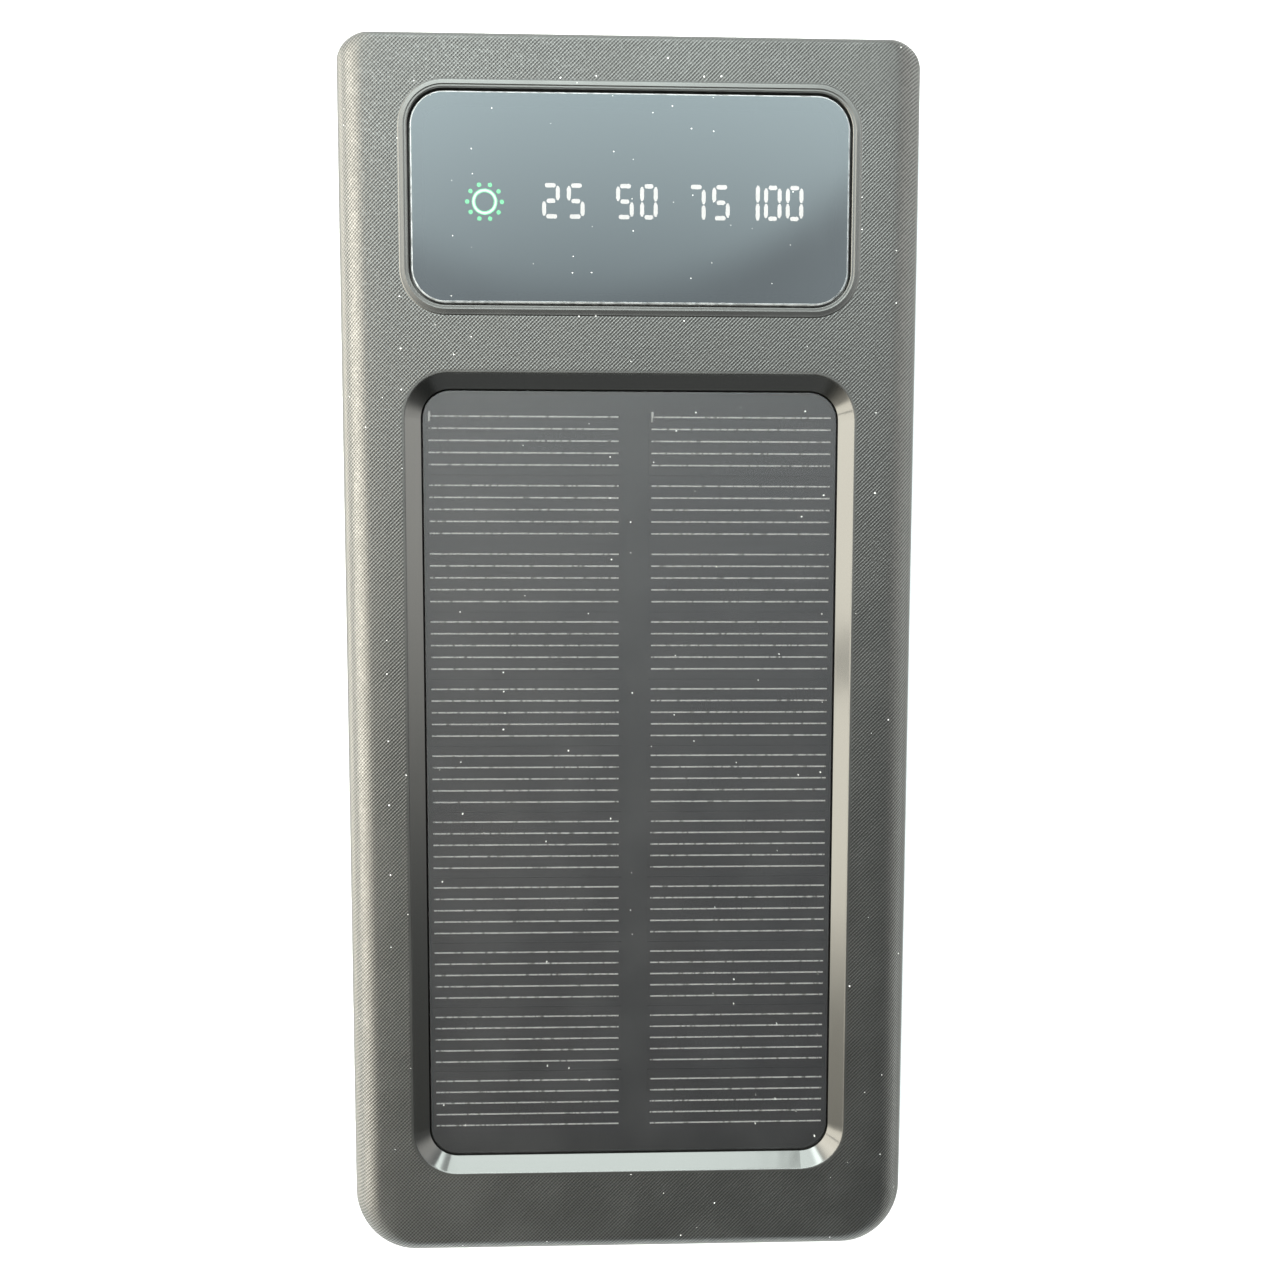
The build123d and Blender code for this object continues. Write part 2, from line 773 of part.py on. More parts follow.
for side_name, lamp_x in (("left", -torch_x), ("right", torch_x)):
    with BuildPart() as torch_lamp:
        # Half profile of the lamp: flange, barrel and domed tip, turned about its own axis
        with BuildSketch(Plane(origin=(lamp_x, torch_rear, port_height), x_dir=(1, 0, 0), z_dir=(0, 0, 1))):
            with BuildLine():
                dome_start = torch_length - torch_radius
                barrel = Polyline(
                    (0, 0),
                    (torch_flange_radius, 0),
                    (torch_flange_radius, torch_flange_thickness),
                    (torch_radius, torch_flange_thickness),
                    (torch_radius, dome_start),
                )
                dome = CenterArc((0, dome_start), torch_radius, 0, 90)
                Line(dome @ 1, barrel @ 0)
            make_face()
        revolve(axis=Axis((lamp_x, 0, port_height), (0, 1, 0)))

    torch_lamp.part.label = f"torch_lamp_{side_name}"
    export_step(torch_lamp.part, f"parts/torch_lamp_{side_name}.step")

torch_leg_drop = torch_rear - torch_leg_reach

with BuildPart() as torch_legs:
    for lamp_x in (-torch_x, torch_x):
        for leg_side in (-1, 1):
            leg_x = lamp_x + leg_side * torch_leg_spacing / 2
            with BuildSketch(Plane.YZ.offset(leg_x - torch_leg_width / 2)):
                with Locations(((torch_rear + torch_leg_drop) / 2, port_height)):
                    Rectangle(torch_rear - torch_leg_drop, torch_leg_width)
                with Locations((torch_leg_drop, (port_height + board_top) / 2 + torch_leg_width / 4)):
                    Rectangle(torch_leg_width, port_height - board_top + torch_leg_width / 2)
            extrude(amount=torch_leg_width)

torch_legs.part.label = "torch_legs"
export_step(torch_legs.part, "parts/torch_legs.step")


# --- Main board and what stands on it -------------------------------------------------------------

board_front = flange_face - port_flange_thickness - board_front_gap
board_back = top_end - board_back_from_top
board_step = top_end - board_step_from_top
slot_back = usb_front - usb_a_length - board_slot_gap

with BuildPart() as main_board:
    with BuildSketch(Plane.XY.offset(board_bottom)):
        with BuildLine():
            Polyline(
                (-board_half_width, board_back),
                (board_half_width, board_back),
                (board_half_width, board_step),
                (board_step_half_width, board_step),
                (board_step_half_width, board_front),
                (-board_step_half_width, board_front),
                (-board_step_half_width, board_step),
                (-board_half_width, board_step),
                close=True,
            )
        make_face()
        slot_front = board_front + overcut
        with Locations(*[(x, (slot_front + slot_back) / 2) for x, _ in usb_a_places]):
            Rectangle(usb_a_width + 2 * board_slot_gap, slot_front - slot_back, mode=Mode.SUBTRACT)
        with Locations(*post_places):
            Circle(screw_radius + pilot_gap, mode=Mode.SUBTRACT)
    extrude(amount=board_thickness)

main_board.part.label = "main_board"
export_step(main_board.part, "parts/main_board.step")

with BuildPart() as power_inductor:
    inductor_place = (0, board_back + inductor_forward)
    with BuildSketch(Plane.XY.offset(board_top)):
        with Locations(inductor_place):
            RectangleRounded(inductor_size, inductor_size, inductor_corner)
    extrude(amount=inductor_height)
    chamfer(power_inductor.edges().group_by(Axis.Z)[-1], length=inductor_chamfer)
    with BuildSketch(Plane.XY.offset(board_top + inductor_height)):
        with Locations(inductor_place):
            Circle(inductor_ring[0])
            Circle(inductor_ring[1], mode=Mode.SUBTRACT)
    extrude(amount=-inductor_ring_depth, mode=Mode.SUBTRACT)

power_inductor.part.label = "power_inductor"
export_step(power_inductor.part, "parts/power_inductor.step")

with BuildPart() as control_chips:
    for x, forward, width, length in control_chip_table:
        with BuildSketch(Plane.XY.offset(board_top)):
            with Locations((x, board_back + forward)):
                Rectangle(width, length)
        extrude(amount=control_chip_height)
    chamfer(control_chips.edges().group_by(Axis.Z)[-1], length=chip_chamfer)
    # A round dimple marks the first corner of each chip
    with BuildSketch(Plane.XY.offset(board_top + control_chip_height)):
        for x, forward, width, length in control_chip_table:
            corner_x = x - width / 2 + chip_dot_inset
            corner_y = board_back + forward + length / 2 - chip_dot_inset
            with Locations((corner_x, corner_y)):
                Circle(chip_dot_radius)
    extrude(amount=-chip_dot_depth, mode=Mode.SUBTRACT)

control_chips.part.label = "control_chips"
export_step(control_chips.part, "parts/control_chips.step")

with BuildPart() as board_capacitors:
    with BuildSketch(Plane.XY.offset(board_top)):
        with Locations(*[(x, board_back + forward) for x, forward in capacitor_table]):
            Rectangle(capacitor_width, capacitor_length)
    extrude(amount=capacitor_height)
    fillet(board_capacitors.edges().group_by(Axis.Z)[-1], radius=capacitor_edge)

board_capacitors.part.label = "board_capacitors"
export_step(board_capacitors.part, "parts/board_capacitors.step")


# --- Power button ---------------------------------------------------------------------------------

switch_height = 2 * (port_height - board_top)

with BuildPart() as tact_switch:
    with BuildSketch(Plane.XY.offset(board_top)):
        with Locations((switch_face - switch_depth / 2, button_y)):
            Rectangle(switch_depth, switch_length)
    extrude(amount=switch_height)
    chamfer(tact_switch.edges().group_by(Axis.Z)[-1], length=switch_chamfer)
    with BuildSketch(side_plane(switch_face)):
        Circle(plunger_radius + plunger_gap)
    extrude(amount=-(plunger_sunk + button_travel + plunger_clearance), mode=Mode.SUBTRACT)

tact_switch.part.label = "tact_switch"
export_step(tact_switch.part, "parts/tact_switch.step")

with BuildPart() as switch_plunger:
    with BuildSketch(side_plane(switch_face - plunger_sunk)):
        Circle(plunger_radius)
    extrude(amount=plunger_tip - switch_face + plunger_sunk)
    fillet(switch_plunger.edges().group_by(Axis.X)[-1], radius=plunger_edge)

switch_plunger.part.label = "switch_plunger"
export_step(switch_plunger.part, "parts/switch_plunger.step")

with BuildPart() as power_button:
    with BuildSketch(side_plane(button_back)):
        SlotOverall(button_length, button_height)
    extrude(amount=button_face - button_back)
    fillet(power_button.edges().group_by(Axis.X)[-1], radius=button_edge_radius)
    with BuildSketch(side_plane(button_back)):
        SlotOverall(button_length + 2 * button_flange, button_height + 2 * button_flange)
    extrude(amount=-button_flange_thickness)
    with BuildSketch(side_plane(button_back - button_flange_thickness)):
        RectangleRounded(button_stem, button_stem, button_stem_radius)
    extrude(amount=-(button_back - button_flange_thickness - plunger_tip))

power_button.part.label = "power_button"
export_step(power_button.part, "parts/power_button.step")


# --- Display --------------------------------------------------------------------------------------

def stroke(length, grow):
    """An upright display segment with tapered ends, as corner points about its own middle."""
    half = stroke_thickness / 2 + grow
    end = length / 2 + grow
    tip = stroke_thickness / 5 + grow
    shoulder = end - stroke_tip
    return [
        (half, -shoulder), (half, shoulder), (tip, end), (-tip, end),
        (-half, shoulder), (-half, -shoulder), (-tip, -end), (tip, -end),
    ]


def level_shape(name, z, grow=0.0):
    """The lit segments of one number, on a plane at height z, grown by a margin all round."""
    lit = {"0": "abcdef", "1": "bc", "2": "abged", "5": "afgcd", "7": "abc"}
    with BuildSketch(Plane.XY.offset(z)) as shape:
        for digit, x in level_digits[name]:
            on = lit[digit]
            # Bars: top, middle and bottom; a bar open at one side is longer and slips to that side
            for bar, row, beside in (("a", 1, "fb"), ("g", 0, "__"), ("d", -1, "ec")):
                if bar not in on:
                    continue
                left_on = beside[0] in on
                right_on = beside[1] in on
                length = bar_length if left_on != right_on else short_bar_length
                slip = bar_slip * (left_on - right_on)
                with Locations((x + slip, levels_y + row * segment_up)):
                    SlotOverall(length + 2 * grow, bar_thickness + 2 * grow)
            # Strokes: left and right, upper and lower
            for mark, side, row in (("f", -1, 1), ("b", 1, 1), ("e", -1, -1), ("c", 1, -1)):
                if mark not in on:
                    continue
                tall = digit == "1"
                length = tall_stroke_length if tall else stroke_length
                stroke_x = x if tall else x + side * segment_across
                lift = (tall_stroke_length - stroke_length) / 2 if tall else 0.0
                drop = seven_drop if digit == "7" else 0.0
                with Locations((stroke_x, levels_y + row * (segment_up / 2 + lift) - drop)):
                    Polygon(*stroke(length, grow), align=None)
    return shape.sketch


def sun_shape(z, grow=0.0):
    """The sun symbol: a ring inside a circle of dots."""
    with BuildSketch(Plane.XY.offset(z)) as shape:
        with Locations((sun_x, sun_y)):
            Circle(sun_ring_radius + grow)
            Circle(sun_hole_radius - grow, mode=Mode.SUBTRACT)
            with PolarLocations(sun_ray_circle, sun_rays):
                Circle(sun_ray_radius + grow)
    return shape.sketch


def sun_bridges(grow=0.0):
    """Crossed bars that carry the shade's middle disc across the ring, grown by a margin all round."""
    with BuildPart() as bars:
        with BuildSketch(Plane.XY.offset(well_roof)):
            with Locations((sun_x, sun_y)):
                Rectangle(2 * sun_ring_radius + shade_gap, sun_bridge_width + 2 * grow)
                Rectangle(sun_bridge_width + 2 * grow, 2 * sun_ring_radius + shade_gap)
        extrude(amount=sun_bridge_height + grow)
    return bars.part


with BuildPart() as display_lens:
    extrude(window_shape(lens_bottom, -window_gap / 2), amount=lens_thickness)
    chamfer(display_lens.edges().group_by(Axis.Z)[-1], length=lens_bevel)
    for level in level_digits:
        extrude(
            level_shape(level, lens_bottom, light_gap),
            amount=light_top + light_gap - lens_bottom,
            mode=Mode.SUBTRACT,
        )
    extrude(
        sun_shape(lens_bottom, light_gap),
        amount=light_top + light_gap - lens_bottom,
        mode=Mode.SUBTRACT,
    )

display_lens.part.label = "display_lens"
export_step(display_lens.part, "parts/display_lens.step")

for level in level_digits:
    with BuildPart() as level_light:
        extrude(level_shape(level, well_roof), amount=light_top - well_roof)

    level_light.part.label = f"level_{level}"
    export_step(level_light.part, f"parts/level_{level}.step")

with BuildPart() as sun_light:
    extrude(sun_shape(well_roof), amount=light_top - well_roof)
    add(sun_bridges(light_gap), mode=Mode.SUBTRACT)

sun_light.part.label = "sun_light"
export_step(sun_light.part, "parts/sun_light.step")

with BuildPart() as lens_adhesive:
    extrude(window_shape(ledge_height, -window_gap), amount=lens_glue)
    extrude(window_shape(ledge_height, -lens_ledge), amount=lens_glue, mode=Mode.SUBTRACT)

lens_adhesive.part.label = "lens_adhesive"
export_step(lens_adhesive.part, "parts/lens_adhesive.step")


def light_wells(z):
    """Outlines of the wells behind the sun symbol and behind each number."""
    with BuildSketch(Plane.XY.offset(z)) as shape:
        for places in level_digits.values():
            left = places[0][1] - segment_across - light_well_margin
            right = places[-1][1] + segment_across + light_well_margin
            with Locations(((left + right) / 2, levels_y)):
                Rectangle(right - left, 2 * segment_up + 2 * light_well_margin)
        with Locations((sun_x, sun_y)):
            Circle(sun_ray_circle + light_well_margin)
    return shape.sketch


with BuildPart() as light_shade:
    extrude(window_shape(shade_bottom, shade_side_gap), amount=shade_depth)
    extrude(
        window_shape(shade_flange_top, -lens_ledge - shade_gap),
        amount=shade_top - shade_flange_top,
    )
    extrude(light_wells(shade_bottom), amount=light_well_depth, mode=Mode.SUBTRACT)
    for level in level_digits:
        extrude(
            level_shape(level, well_roof, light_gap), amount=shade_top - well_roof, mode=Mode.SUBTRACT
        )
    extrude(sun_shape(well_roof, light_gap), amount=shade_top - well_roof, mode=Mode.SUBTRACT)
    add(sun_bridges())

light_shade.part.label = "light_shade"
export_step(light_shade.part, "parts/light_shade.step")

with BuildPart() as light_board:
    extrude(window_shape(light_board_bottom, shade_side_gap), amount=light_board_thickness)

light_board.part.label = "light_board"
export_step(light_board.part, "parts/light_board.step")

with BuildPart() as light_diodes:
    with BuildSketch(Plane.XY.offset(shade_bottom)):
        with Locations(*[(x, levels_y) for places in level_digits.values() for _, x in places]):
            Rectangle(diode_length, diode_width)
        with Locations((sun_x, sun_y)):
            with GridLocations(sun_diode_spacing, 1, 2, 1):
                Rectangle(diode_length, diode_width)
    extrude(amount=diode_height)

light_diodes.part.label = "light_diodes"
export_step(light_diodes.part, "parts/light_diodes.step")

ribbon_start = window_y - window_length / 2 + ribbon_on_light_board
ribbon_bend = top_end - ribbon_bend_from_top
ribbon_upper = light_board_bottom - ribbon_thickness / 2
ribbon_lower = board_top + ribbon_thickness / 2

with BuildPart() as display_ribbon:
    with BuildLine() as ribbon_path:
        FilletPolyline(
            (ribbon_x, ribbon_start, ribbon_upper),
            (ribbon_x, ribbon_bend, ribbon_upper),
            (ribbon_x, ribbon_bend, ribbon_lower),
            (ribbon_x, board_back + ribbon_on_main_board, ribbon_lower),
            radius=ribbon_bend_radius,
        )
    with BuildSketch(end_plane(ribbon_start, ribbon_x, ribbon_upper)):
        Rectangle(ribbon_width, ribbon_thickness)
    sweep(path=ribbon_path.line)

display_ribbon.part.label = "display_ribbon"
export_step(display_ribbon.part, "parts/display_ribbon.step")


# --- Solar panel ----------------------------------------------------------------------------------

with BuildPart() as solar_board:
    extrude(recess_shape(panel_board_bottom, recess_slope + panel_gap), amount=panel_board_thickness)

solar_board.part.label = "solar_board"
export_step(solar_board.part, "parts/solar_board.step")

with BuildPart() as solar_film:
    extrude(recess_shape(finger_top, recess_slope + panel_gap), amount=film_thickness)
    fillet(solar_film.edges().group_by(Axis.Z)[-1], radius=film_edge_radius)

solar_film.part.label = "solar_film"
export_step(solar_film.part, "parts/solar_film.step")

with BuildPart() as solar_adhesive:
    extrude(recess_shape(tray_top, recess_slope + panel_gap), amount=panel_glue)
    extrude(
        recess_shape(tray_top, recess_slope + panel_gap + panel_glue_width),
        amount=panel_glue,
        mode=Mode.SUBTRACT,
    )

solar_adhesive.part.label = "solar_adhesive"
export_step(solar_adhesive.part, "parts/solar_adhesive.step")

column_left = -panel_width / 2 + column_edge
column_right = panel_width / 2 - column_edge
gap_left = column_shift - column_gap / 2
gap_right = column_shift + column_gap / 2
columns = (("left", column_left, gap_left), ("right", gap_right, column_right))
finger_span = (fingers_per_strip - 1) * finger_pitch
first_strip_y = first_finger_y - finger_span / 2
strip_places = [first_strip_y - number * strip_pitch for number in range(strips)]

for column_name, low_x, high_x in columns:
    with BuildPart() as solar_cells:
        # Each strip reaches past the ends of its silver fingers; the corner strips follow the panel
        with BuildSketch(Plane.XY.offset(panel_board_top)):
            with Locations(*[((low_x + high_x) / 2, y) for y in strip_places]):
                Rectangle(high_x - low_x + 2 * finger_inset, strip_pitch - strip_gap)
            add(recess_shape(panel_board_top, recess_slope + panel_gap + cell_margin), mode=Mode.INTERSECT)
        extrude(amount=cell_thickness)

    solar_cells.part.label = f"solar_cells_{column_name}"
    export_step(solar_cells.part, f"parts/solar_cells_{column_name}.step")

with BuildPart() as cell_fingers:
    with BuildSketch(Plane.XY.offset(cell_top)):
        for column_name, low_x, high_x in columns:
            for strip_y in strip_places:
                with Locations(((low_x + high_x) / 2, strip_y)):
                    with GridLocations(1, finger_pitch, 1, fingers_per_strip):
                        Rectangle(high_x - low_x, finger_width)
            # A short mark crosses the start of each column's first finger
            with Locations((low_x + finger_mark_width / 2, first_finger_y)):
                Rectangle(finger_mark_width, finger_mark_length)
    extrude(amount=finger_height)

cell_fingers.part.label = "cell_fingers"
export_step(cell_fingers.part, "parts/cell_fingers.step")


# --- Battery --------------------------------------------------------------------------------------

pouch_low = -body_length / 2 + pouch_above_bottom
pouch_y = pouch_low + cell_length / 2
pouch_end = pouch_low + cell_length
upper_pouch_bottom = tray_bottom - battery_top_gap - pouch_thickness
lower_pouch_bottom = upper_pouch_bottom - middle_pad - pouch_thickness
terrace_heights = {
    "upper": upper_pouch_bottom + pouch_thickness / 2,
    "lower": lower_pouch_bottom + pouch_thickness / 2,
}

for pouch_name, pouch_bottom in (("upper", upper_pouch_bottom), ("lower", lower_pouch_bottom)):
    with BuildPart() as battery_cell:
        plane = Plane.XY.offset(pouch_bottom).move(Location((0, pouch_y, 0)))
        extrude(round_rectangle(plane, cell_width, cell_length, pouch_corner), amount=pouch_thickness)
        fillet(battery_cell.edges().filter_by(GeomType.LINE).filter_by(Axis.Y), radius=pouch_edge)
        terrace_plane = Plane.XY.offset(terrace_heights[pouch_name] - pouch_terrace_thickness / 2)
        with BuildSketch(terrace_plane):
            with Locations((0, pouch_end + (pouch_terrace - terrace_root) / 2)):
                Rectangle(cell_width - 2 * terrace_side_inset, pouch_terrace + terrace_root)
        extrude(amount=pouch_terrace_thickness)

    battery_cell.part.label = f"battery_cell_{pouch_name}"
    export_step(battery_cell.part, f"parts/battery_cell_{pouch_name}.step")

pad_width = cell_width - 2 * pad_inset
pad_length = cell_length - 2 * pad_inset

with BuildPart() as cell_pad:
    plane = Plane.XY.offset(upper_pouch_bottom - middle_pad).move(Location((0, pouch_y, 0)))
    extrude(round_rectangle(plane, pad_width, pad_length, pad_radius), amount=middle_pad)

cell_pad.part.label = "cell_pad"
export_step(cell_pad.part, "parts/cell_pad.step")

with BuildPart() as floor_pad:
    plane = Plane.XY.offset(inner_floor).move(Location((0, pouch_y, 0)))
    pad_thickness = lower_pouch_bottom - inner_floor
    extrude(round_rectangle(plane, pad_width, pad_length, pad_radius), amount=pad_thickness)

floor_pad.part.label = "floor_pad"
export_step(floor_pad.part, "parts/floor_pad.step")

protection_y = pouch_end + protection_from_pouch + protection_width / 2
protection_bottom = (terrace_heights["upper"] + terrace_heights["lower"] - protection_thickness) / 2
protection_top = protection_bottom + protection_thickness
tab_landing = protection_y - protection_width / 2 + tab_overlap
tab_start = pouch_end + pouch_terrace
tab_rise = tab_start + tab_rise_reach

with BuildPart() as protection_board:
    with BuildSketch(Plane.XY.offset(protection_bottom)):
        with Locations((0, protection_y)):
            Rectangle(protection_length, protection_width)
    extrude(amount=protection_thickness)

protection_board.part.label = "protection_board"
export_step(protection_board.part, "parts/protection_board.step")

with BuildPart() as protection_chips:
    with BuildSketch(Plane.XY.offset(protection_top)):
        with Locations(*[(x, protection_y) for x in protection_chip_places]):
            Rectangle(protection_chip_size, protection_chip_size)
    extrude(amount=protection_chip_height)
    chamfer(protection_chips.edges().group_by(Axis.Z)[-1], length=protection_chip_chamfer)

protection_chips.part.label = "protection_chips"
export_step(protection_chips.part, "parts/protection_chips.step")

with BuildPart() as cell_tabs:
    landings = {
        "upper": protection_top + tab_thickness / 2,
        "lower": protection_bottom - tab_thickness / 2,
    }
    for pouch_name, terrace_height in terrace_heights.items():
        for x in (-tab_x, tab_x):
            with BuildLine() as tab_path:
                FilletPolyline(
                    (x, tab_start, terrace_height),
                    (x, tab_rise, terrace_height),
                    (x, tab_rise, landings[pouch_name]),
                    (x, tab_landing, landings[pouch_name]),
                    radius=tab_bend,
                )
            with BuildSketch(end_plane(tab_start, x, terrace_height)):
                Rectangle(tab_width, tab_thickness)
            sweep(path=tab_path.line)

cell_tabs.part.label = "cell_tabs"
export_step(cell_tabs.part, "parts/cell_tabs.step")


# --- Leads inside the case ------------------------------------------------------------------------

def round_lead(points, lead_radius, bend_radius):
    """An insulated lead of round section along straight runs joined by tangent arcs."""
    with BuildPart() as lead:
        with BuildLine() as path:
            FilletPolyline(*points, radius=bend_radius)
        with BuildSketch(Plane(origin=path.line @ 0, z_dir=path.line % 0)):
            Circle(lead_radius)
        sweep(path=path.line)
    return lead


lead_lift = light_board_bottom - battery_lead_under_board - battery_lead_radius
lead_out = protection_y + battery_lead_out
lead_in = board_back + battery_lead_in

for lead_name, lead_x in battery_lead_starts.items():
    battery_lead = round_lead(
        [
            (lead_x, lead_out, protection_top),
            (lead_x, lead_out, lead_lift),
            (lead_x - battery_lead_sweep, (lead_out + lead_in) / 2, lead_lift),
            (lead_x - battery_lead_sweep, lead_in, lead_lift),
            (lead_x - battery_lead_sweep, lead_in, board_top),
        ],
        battery_lead_radius,
        battery_lead_bend,
    )
    battery_lead.part.label = f"battery_lead_{lead_name}"
    export_step(battery_lead.part, f"parts/battery_lead_{lead_name}.step")

solar_lead_height = protection_top + solar_lead_lift
solar_lead_end = board_back + solar_lead_in

for lead_name, side in (("red", 1), ("black", -1)):
    lead_x = lead_hole_x + side * solar_lead_spacing / 2
    solar_lead = round_lead(
        [
            (lead_x, lead_hole_y, panel_board_bottom),
            (lead_x, lead_hole_y, solar_lead_height),
            (lead_x - solar_lead_sweep, solar_lead_end - solar_lead_run, solar_lead_height),
            (lead_x - solar_lead_sweep, solar_lead_end, solar_lead_height),
            (lead_x - solar_lead_sweep, solar_lead_end, board_top),
        ],
        solar_lead_radius,
        solar_lead_bend,
    )
    solar_lead.part.label = f"solar_lead_{lead_name}"
    export_step(solar_lead.part, f"parts/solar_lead_{lead_name}.step")
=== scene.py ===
# %% [markdown]
# # Solar phone charger
# A slim power bank: two moulded shells, a solar panel sunk into the front, and a smoked display that
# lights up with a sun and the charge in numbers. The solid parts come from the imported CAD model, which
# is loaded as a fixed frame. This script leaves every part where it is and gives it its finish, then
# sets the lights, the floor and the camera.

# %% Load the frame
import math

import bpy
from mathutils import Matrix, Vector


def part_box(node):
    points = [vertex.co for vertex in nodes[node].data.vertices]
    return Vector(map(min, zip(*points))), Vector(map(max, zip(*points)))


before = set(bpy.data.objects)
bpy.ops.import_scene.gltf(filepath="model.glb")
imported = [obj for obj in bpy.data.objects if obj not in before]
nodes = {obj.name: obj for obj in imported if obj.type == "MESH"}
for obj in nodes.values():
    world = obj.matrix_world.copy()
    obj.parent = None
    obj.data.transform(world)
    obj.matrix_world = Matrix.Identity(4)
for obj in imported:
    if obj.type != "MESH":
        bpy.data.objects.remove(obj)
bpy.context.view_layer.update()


# %% [markdown]
# ## Shader maths as plain expressions
# A material is a graph of small nodes. Wiring Math nodes by hand hides the formula that they stand for,
# so one class wraps a socket and overloads the operators: `1 - mask` adds a Subtract node. Every other
# node comes from one method that takes its type, its settings and the values or links of its sockets.

# %% Signal and Finish
class Signal:
    """One socket of a material's graph. Arithmetic on it adds Math nodes."""

    def __init__(self, finish, socket):
        self.finish = finish
        self.socket = socket

    def maths(self, operation, *values):
        sockets = dict(enumerate(values))
        return self.finish.add("ShaderNodeMath", {"operation": operation}, sockets)[0]

    def __add__(self, other):
        return self.maths("ADD", self, other)

    def __radd__(self, other):
        return self.maths("ADD", other, self)

    def __sub__(self, other):
        return self.maths("SUBTRACT", self, other)

    def __rsub__(self, other):
        return self.maths("SUBTRACT", other, self)

    def __mul__(self, other):
        return self.maths("MULTIPLY", self, other)

    def __rmul__(self, other):
        return self.maths("MULTIPLY", other, self)

    def __truediv__(self, other):
        return self.maths("DIVIDE", self, other)

    def __rtruediv__(self, other):
        return self.maths("DIVIDE", other, self)

    def __pow__(self, other):
        return self.maths("POWER", self, other)

    def __rpow__(self, other):
        return self.maths("POWER", other, self)

    def __gt__(self, other):
        return self.maths("GREATER_THAN", self, other)

    def __lt__(self, other):
        return self.maths("LESS_THAN", self, other)

    def __abs__(self):
        return self.maths("ABSOLUTE", self)

    def sine(self):
        return self.maths("SINE", self)

    def root(self):
        return self.maths("SQRT", self)

    def fraction(self):
        return self.maths("FRACT", self)

    def at_least(self, other):
        return self.maths("MAXIMUM", self, other)

    def at_most(self, other):
        return self.maths("MINIMUM", self, other)

    def ramp(self, low, high, start=0.0, end=1.0):
        """Rises smoothly from start, where the signal is low, to end, where it is high."""
        settings = {"interpolation_type": "SMOOTHSTEP"}
        sockets = {"Value": self, "From Min": low, "From Max": high, "To Min": start, "To Max": end}
        return self.finish.add("ShaderNodeMapRange", settings, sockets)[0]


class Outputs:
    """A node's outputs, by name or by number."""

    def __init__(self, finish, node):
        self.finish = finish
        self.node = node

    def __getitem__(self, key):
        return Signal(self.finish, self.node.outputs[key])


class Finish:
    """A material being made, or the studio's surroundings when it is given a world."""

    def __init__(self, name, world=None):
        self.material = world or bpy.data.materials.new(name)
        self.material.use_nodes = True
        self.tree = self.material.node_tree
        self.tree.nodes.clear()
        self.output = self.tree.nodes.new(f"ShaderNodeOutput{'World' if world else 'Material'}")

    def add(self, kind, settings=None, sockets=None):
        node = self.tree.nodes.new(kind)
        for key, value in (settings or {}).items():
            setattr(node, key, value)
        for key, value in (sockets or {}).items():
            if isinstance(value, Signal):
                self.tree.links.new(value.socket, node.inputs[key])
            else:
                node.inputs[key].default_value = value
        return Outputs(self, node)

    def surface(self, shader):
        self.tree.links.new(shader.socket, self.output.inputs["Surface"])
        return self.material


print("Signal and Finish are ready")


# %% [markdown]
# ## Places, patterns and colours
# The frame is in metres and each part's object sits at the origin, so Object coordinates are places on
# the real thing. They are turned into millimetres once, and a pattern's size then reads as its real size.

# %% Helpers for places, noise and mixes
millimetres = 1000.0


def place(finish):
    """The point being shaded, in millimetres."""
    sockets = {0: finish.add("ShaderNodeTexCoord")["Object"], "Scale": millimetres}
    return finish.add("ShaderNodeVectorMath", {"operation": "SCALE"}, sockets)["Vector"]


def axes(finish, vector):
    """A vector's x, y and z."""
    parts = finish.add("ShaderNodeSeparateXYZ", None, {0: vector})
    return parts["X"], parts["Y"], parts["Z"]


def stretched(finish, point, factors):
    """The point with its axes multiplied, for streaks and weaves."""
    sockets = {0: point, 1: factors}
    return finish.add("ShaderNodeVectorMath", {"operation": "MULTIPLY"}, sockets)["Vector"]


def noise(finish, point, size, detail=2.0, rough=0.5):
    """Soft random patches of about the given size in millimetres, 0 to 1."""
    sockets = {"Vector": point, "Scale": 1.0 / size, "Detail": detail, "Roughness": rough}
    return finish.add("ShaderNodeTexNoise", None, sockets)["Fac"]


def specks(finish, point, spacing, radius, share, flat=False):
    """Dots of mixed sizes in a random share of a grid's cells, as a mask. Flat ones ignore the height."""
    settings = {"voronoi_dimensions": "2D" if flat else "3D"}
    sockets = {"Vector": point, "Scale": 1.0 / spacing}
    cells = finish.add("ShaderNodeTexVoronoi", settings, sockets)
    chances = finish.add("ShaderNodeSeparateColor", None, {0: cells["Color"]})
    smallest, spread = 0.4, 0.8
    size = (smallest + spread * chances["Green"]) * radius / spacing
    return (cells["Distance"] - size < 0.0) * (chances["Red"] < share)


def rgba(colour):
    """Plain red, green and blue get the fourth number that a colour socket holds."""
    return colour if isinstance(colour, Signal) else (*colour, 1.0)


def mixed(finish, share, first, second):
    """From the first colour to the second. The numbers are the Mix node's colour sockets."""
    factor, colour_a, colour_b, colour_out = 0, 6, 7, 2
    sockets = {factor: share, colour_a: rgba(first), colour_b: rgba(second)}
    return finish.add("ShaderNodeMix", {"data_type": "RGBA"}, sockets)[colour_out]


def scaled_by(colour, factor):
    """A plain colour made lighter or darker."""
    return tuple(channel * factor for channel in colour)


def relief(finish, height):
    """A normal that follows a height in millimetres."""
    sockets = {"Height": height, "Distance": 1 / millimetres, "Strength": 1.0}
    return finish.add("ShaderNodeBump", None, sockets)["Normal"]


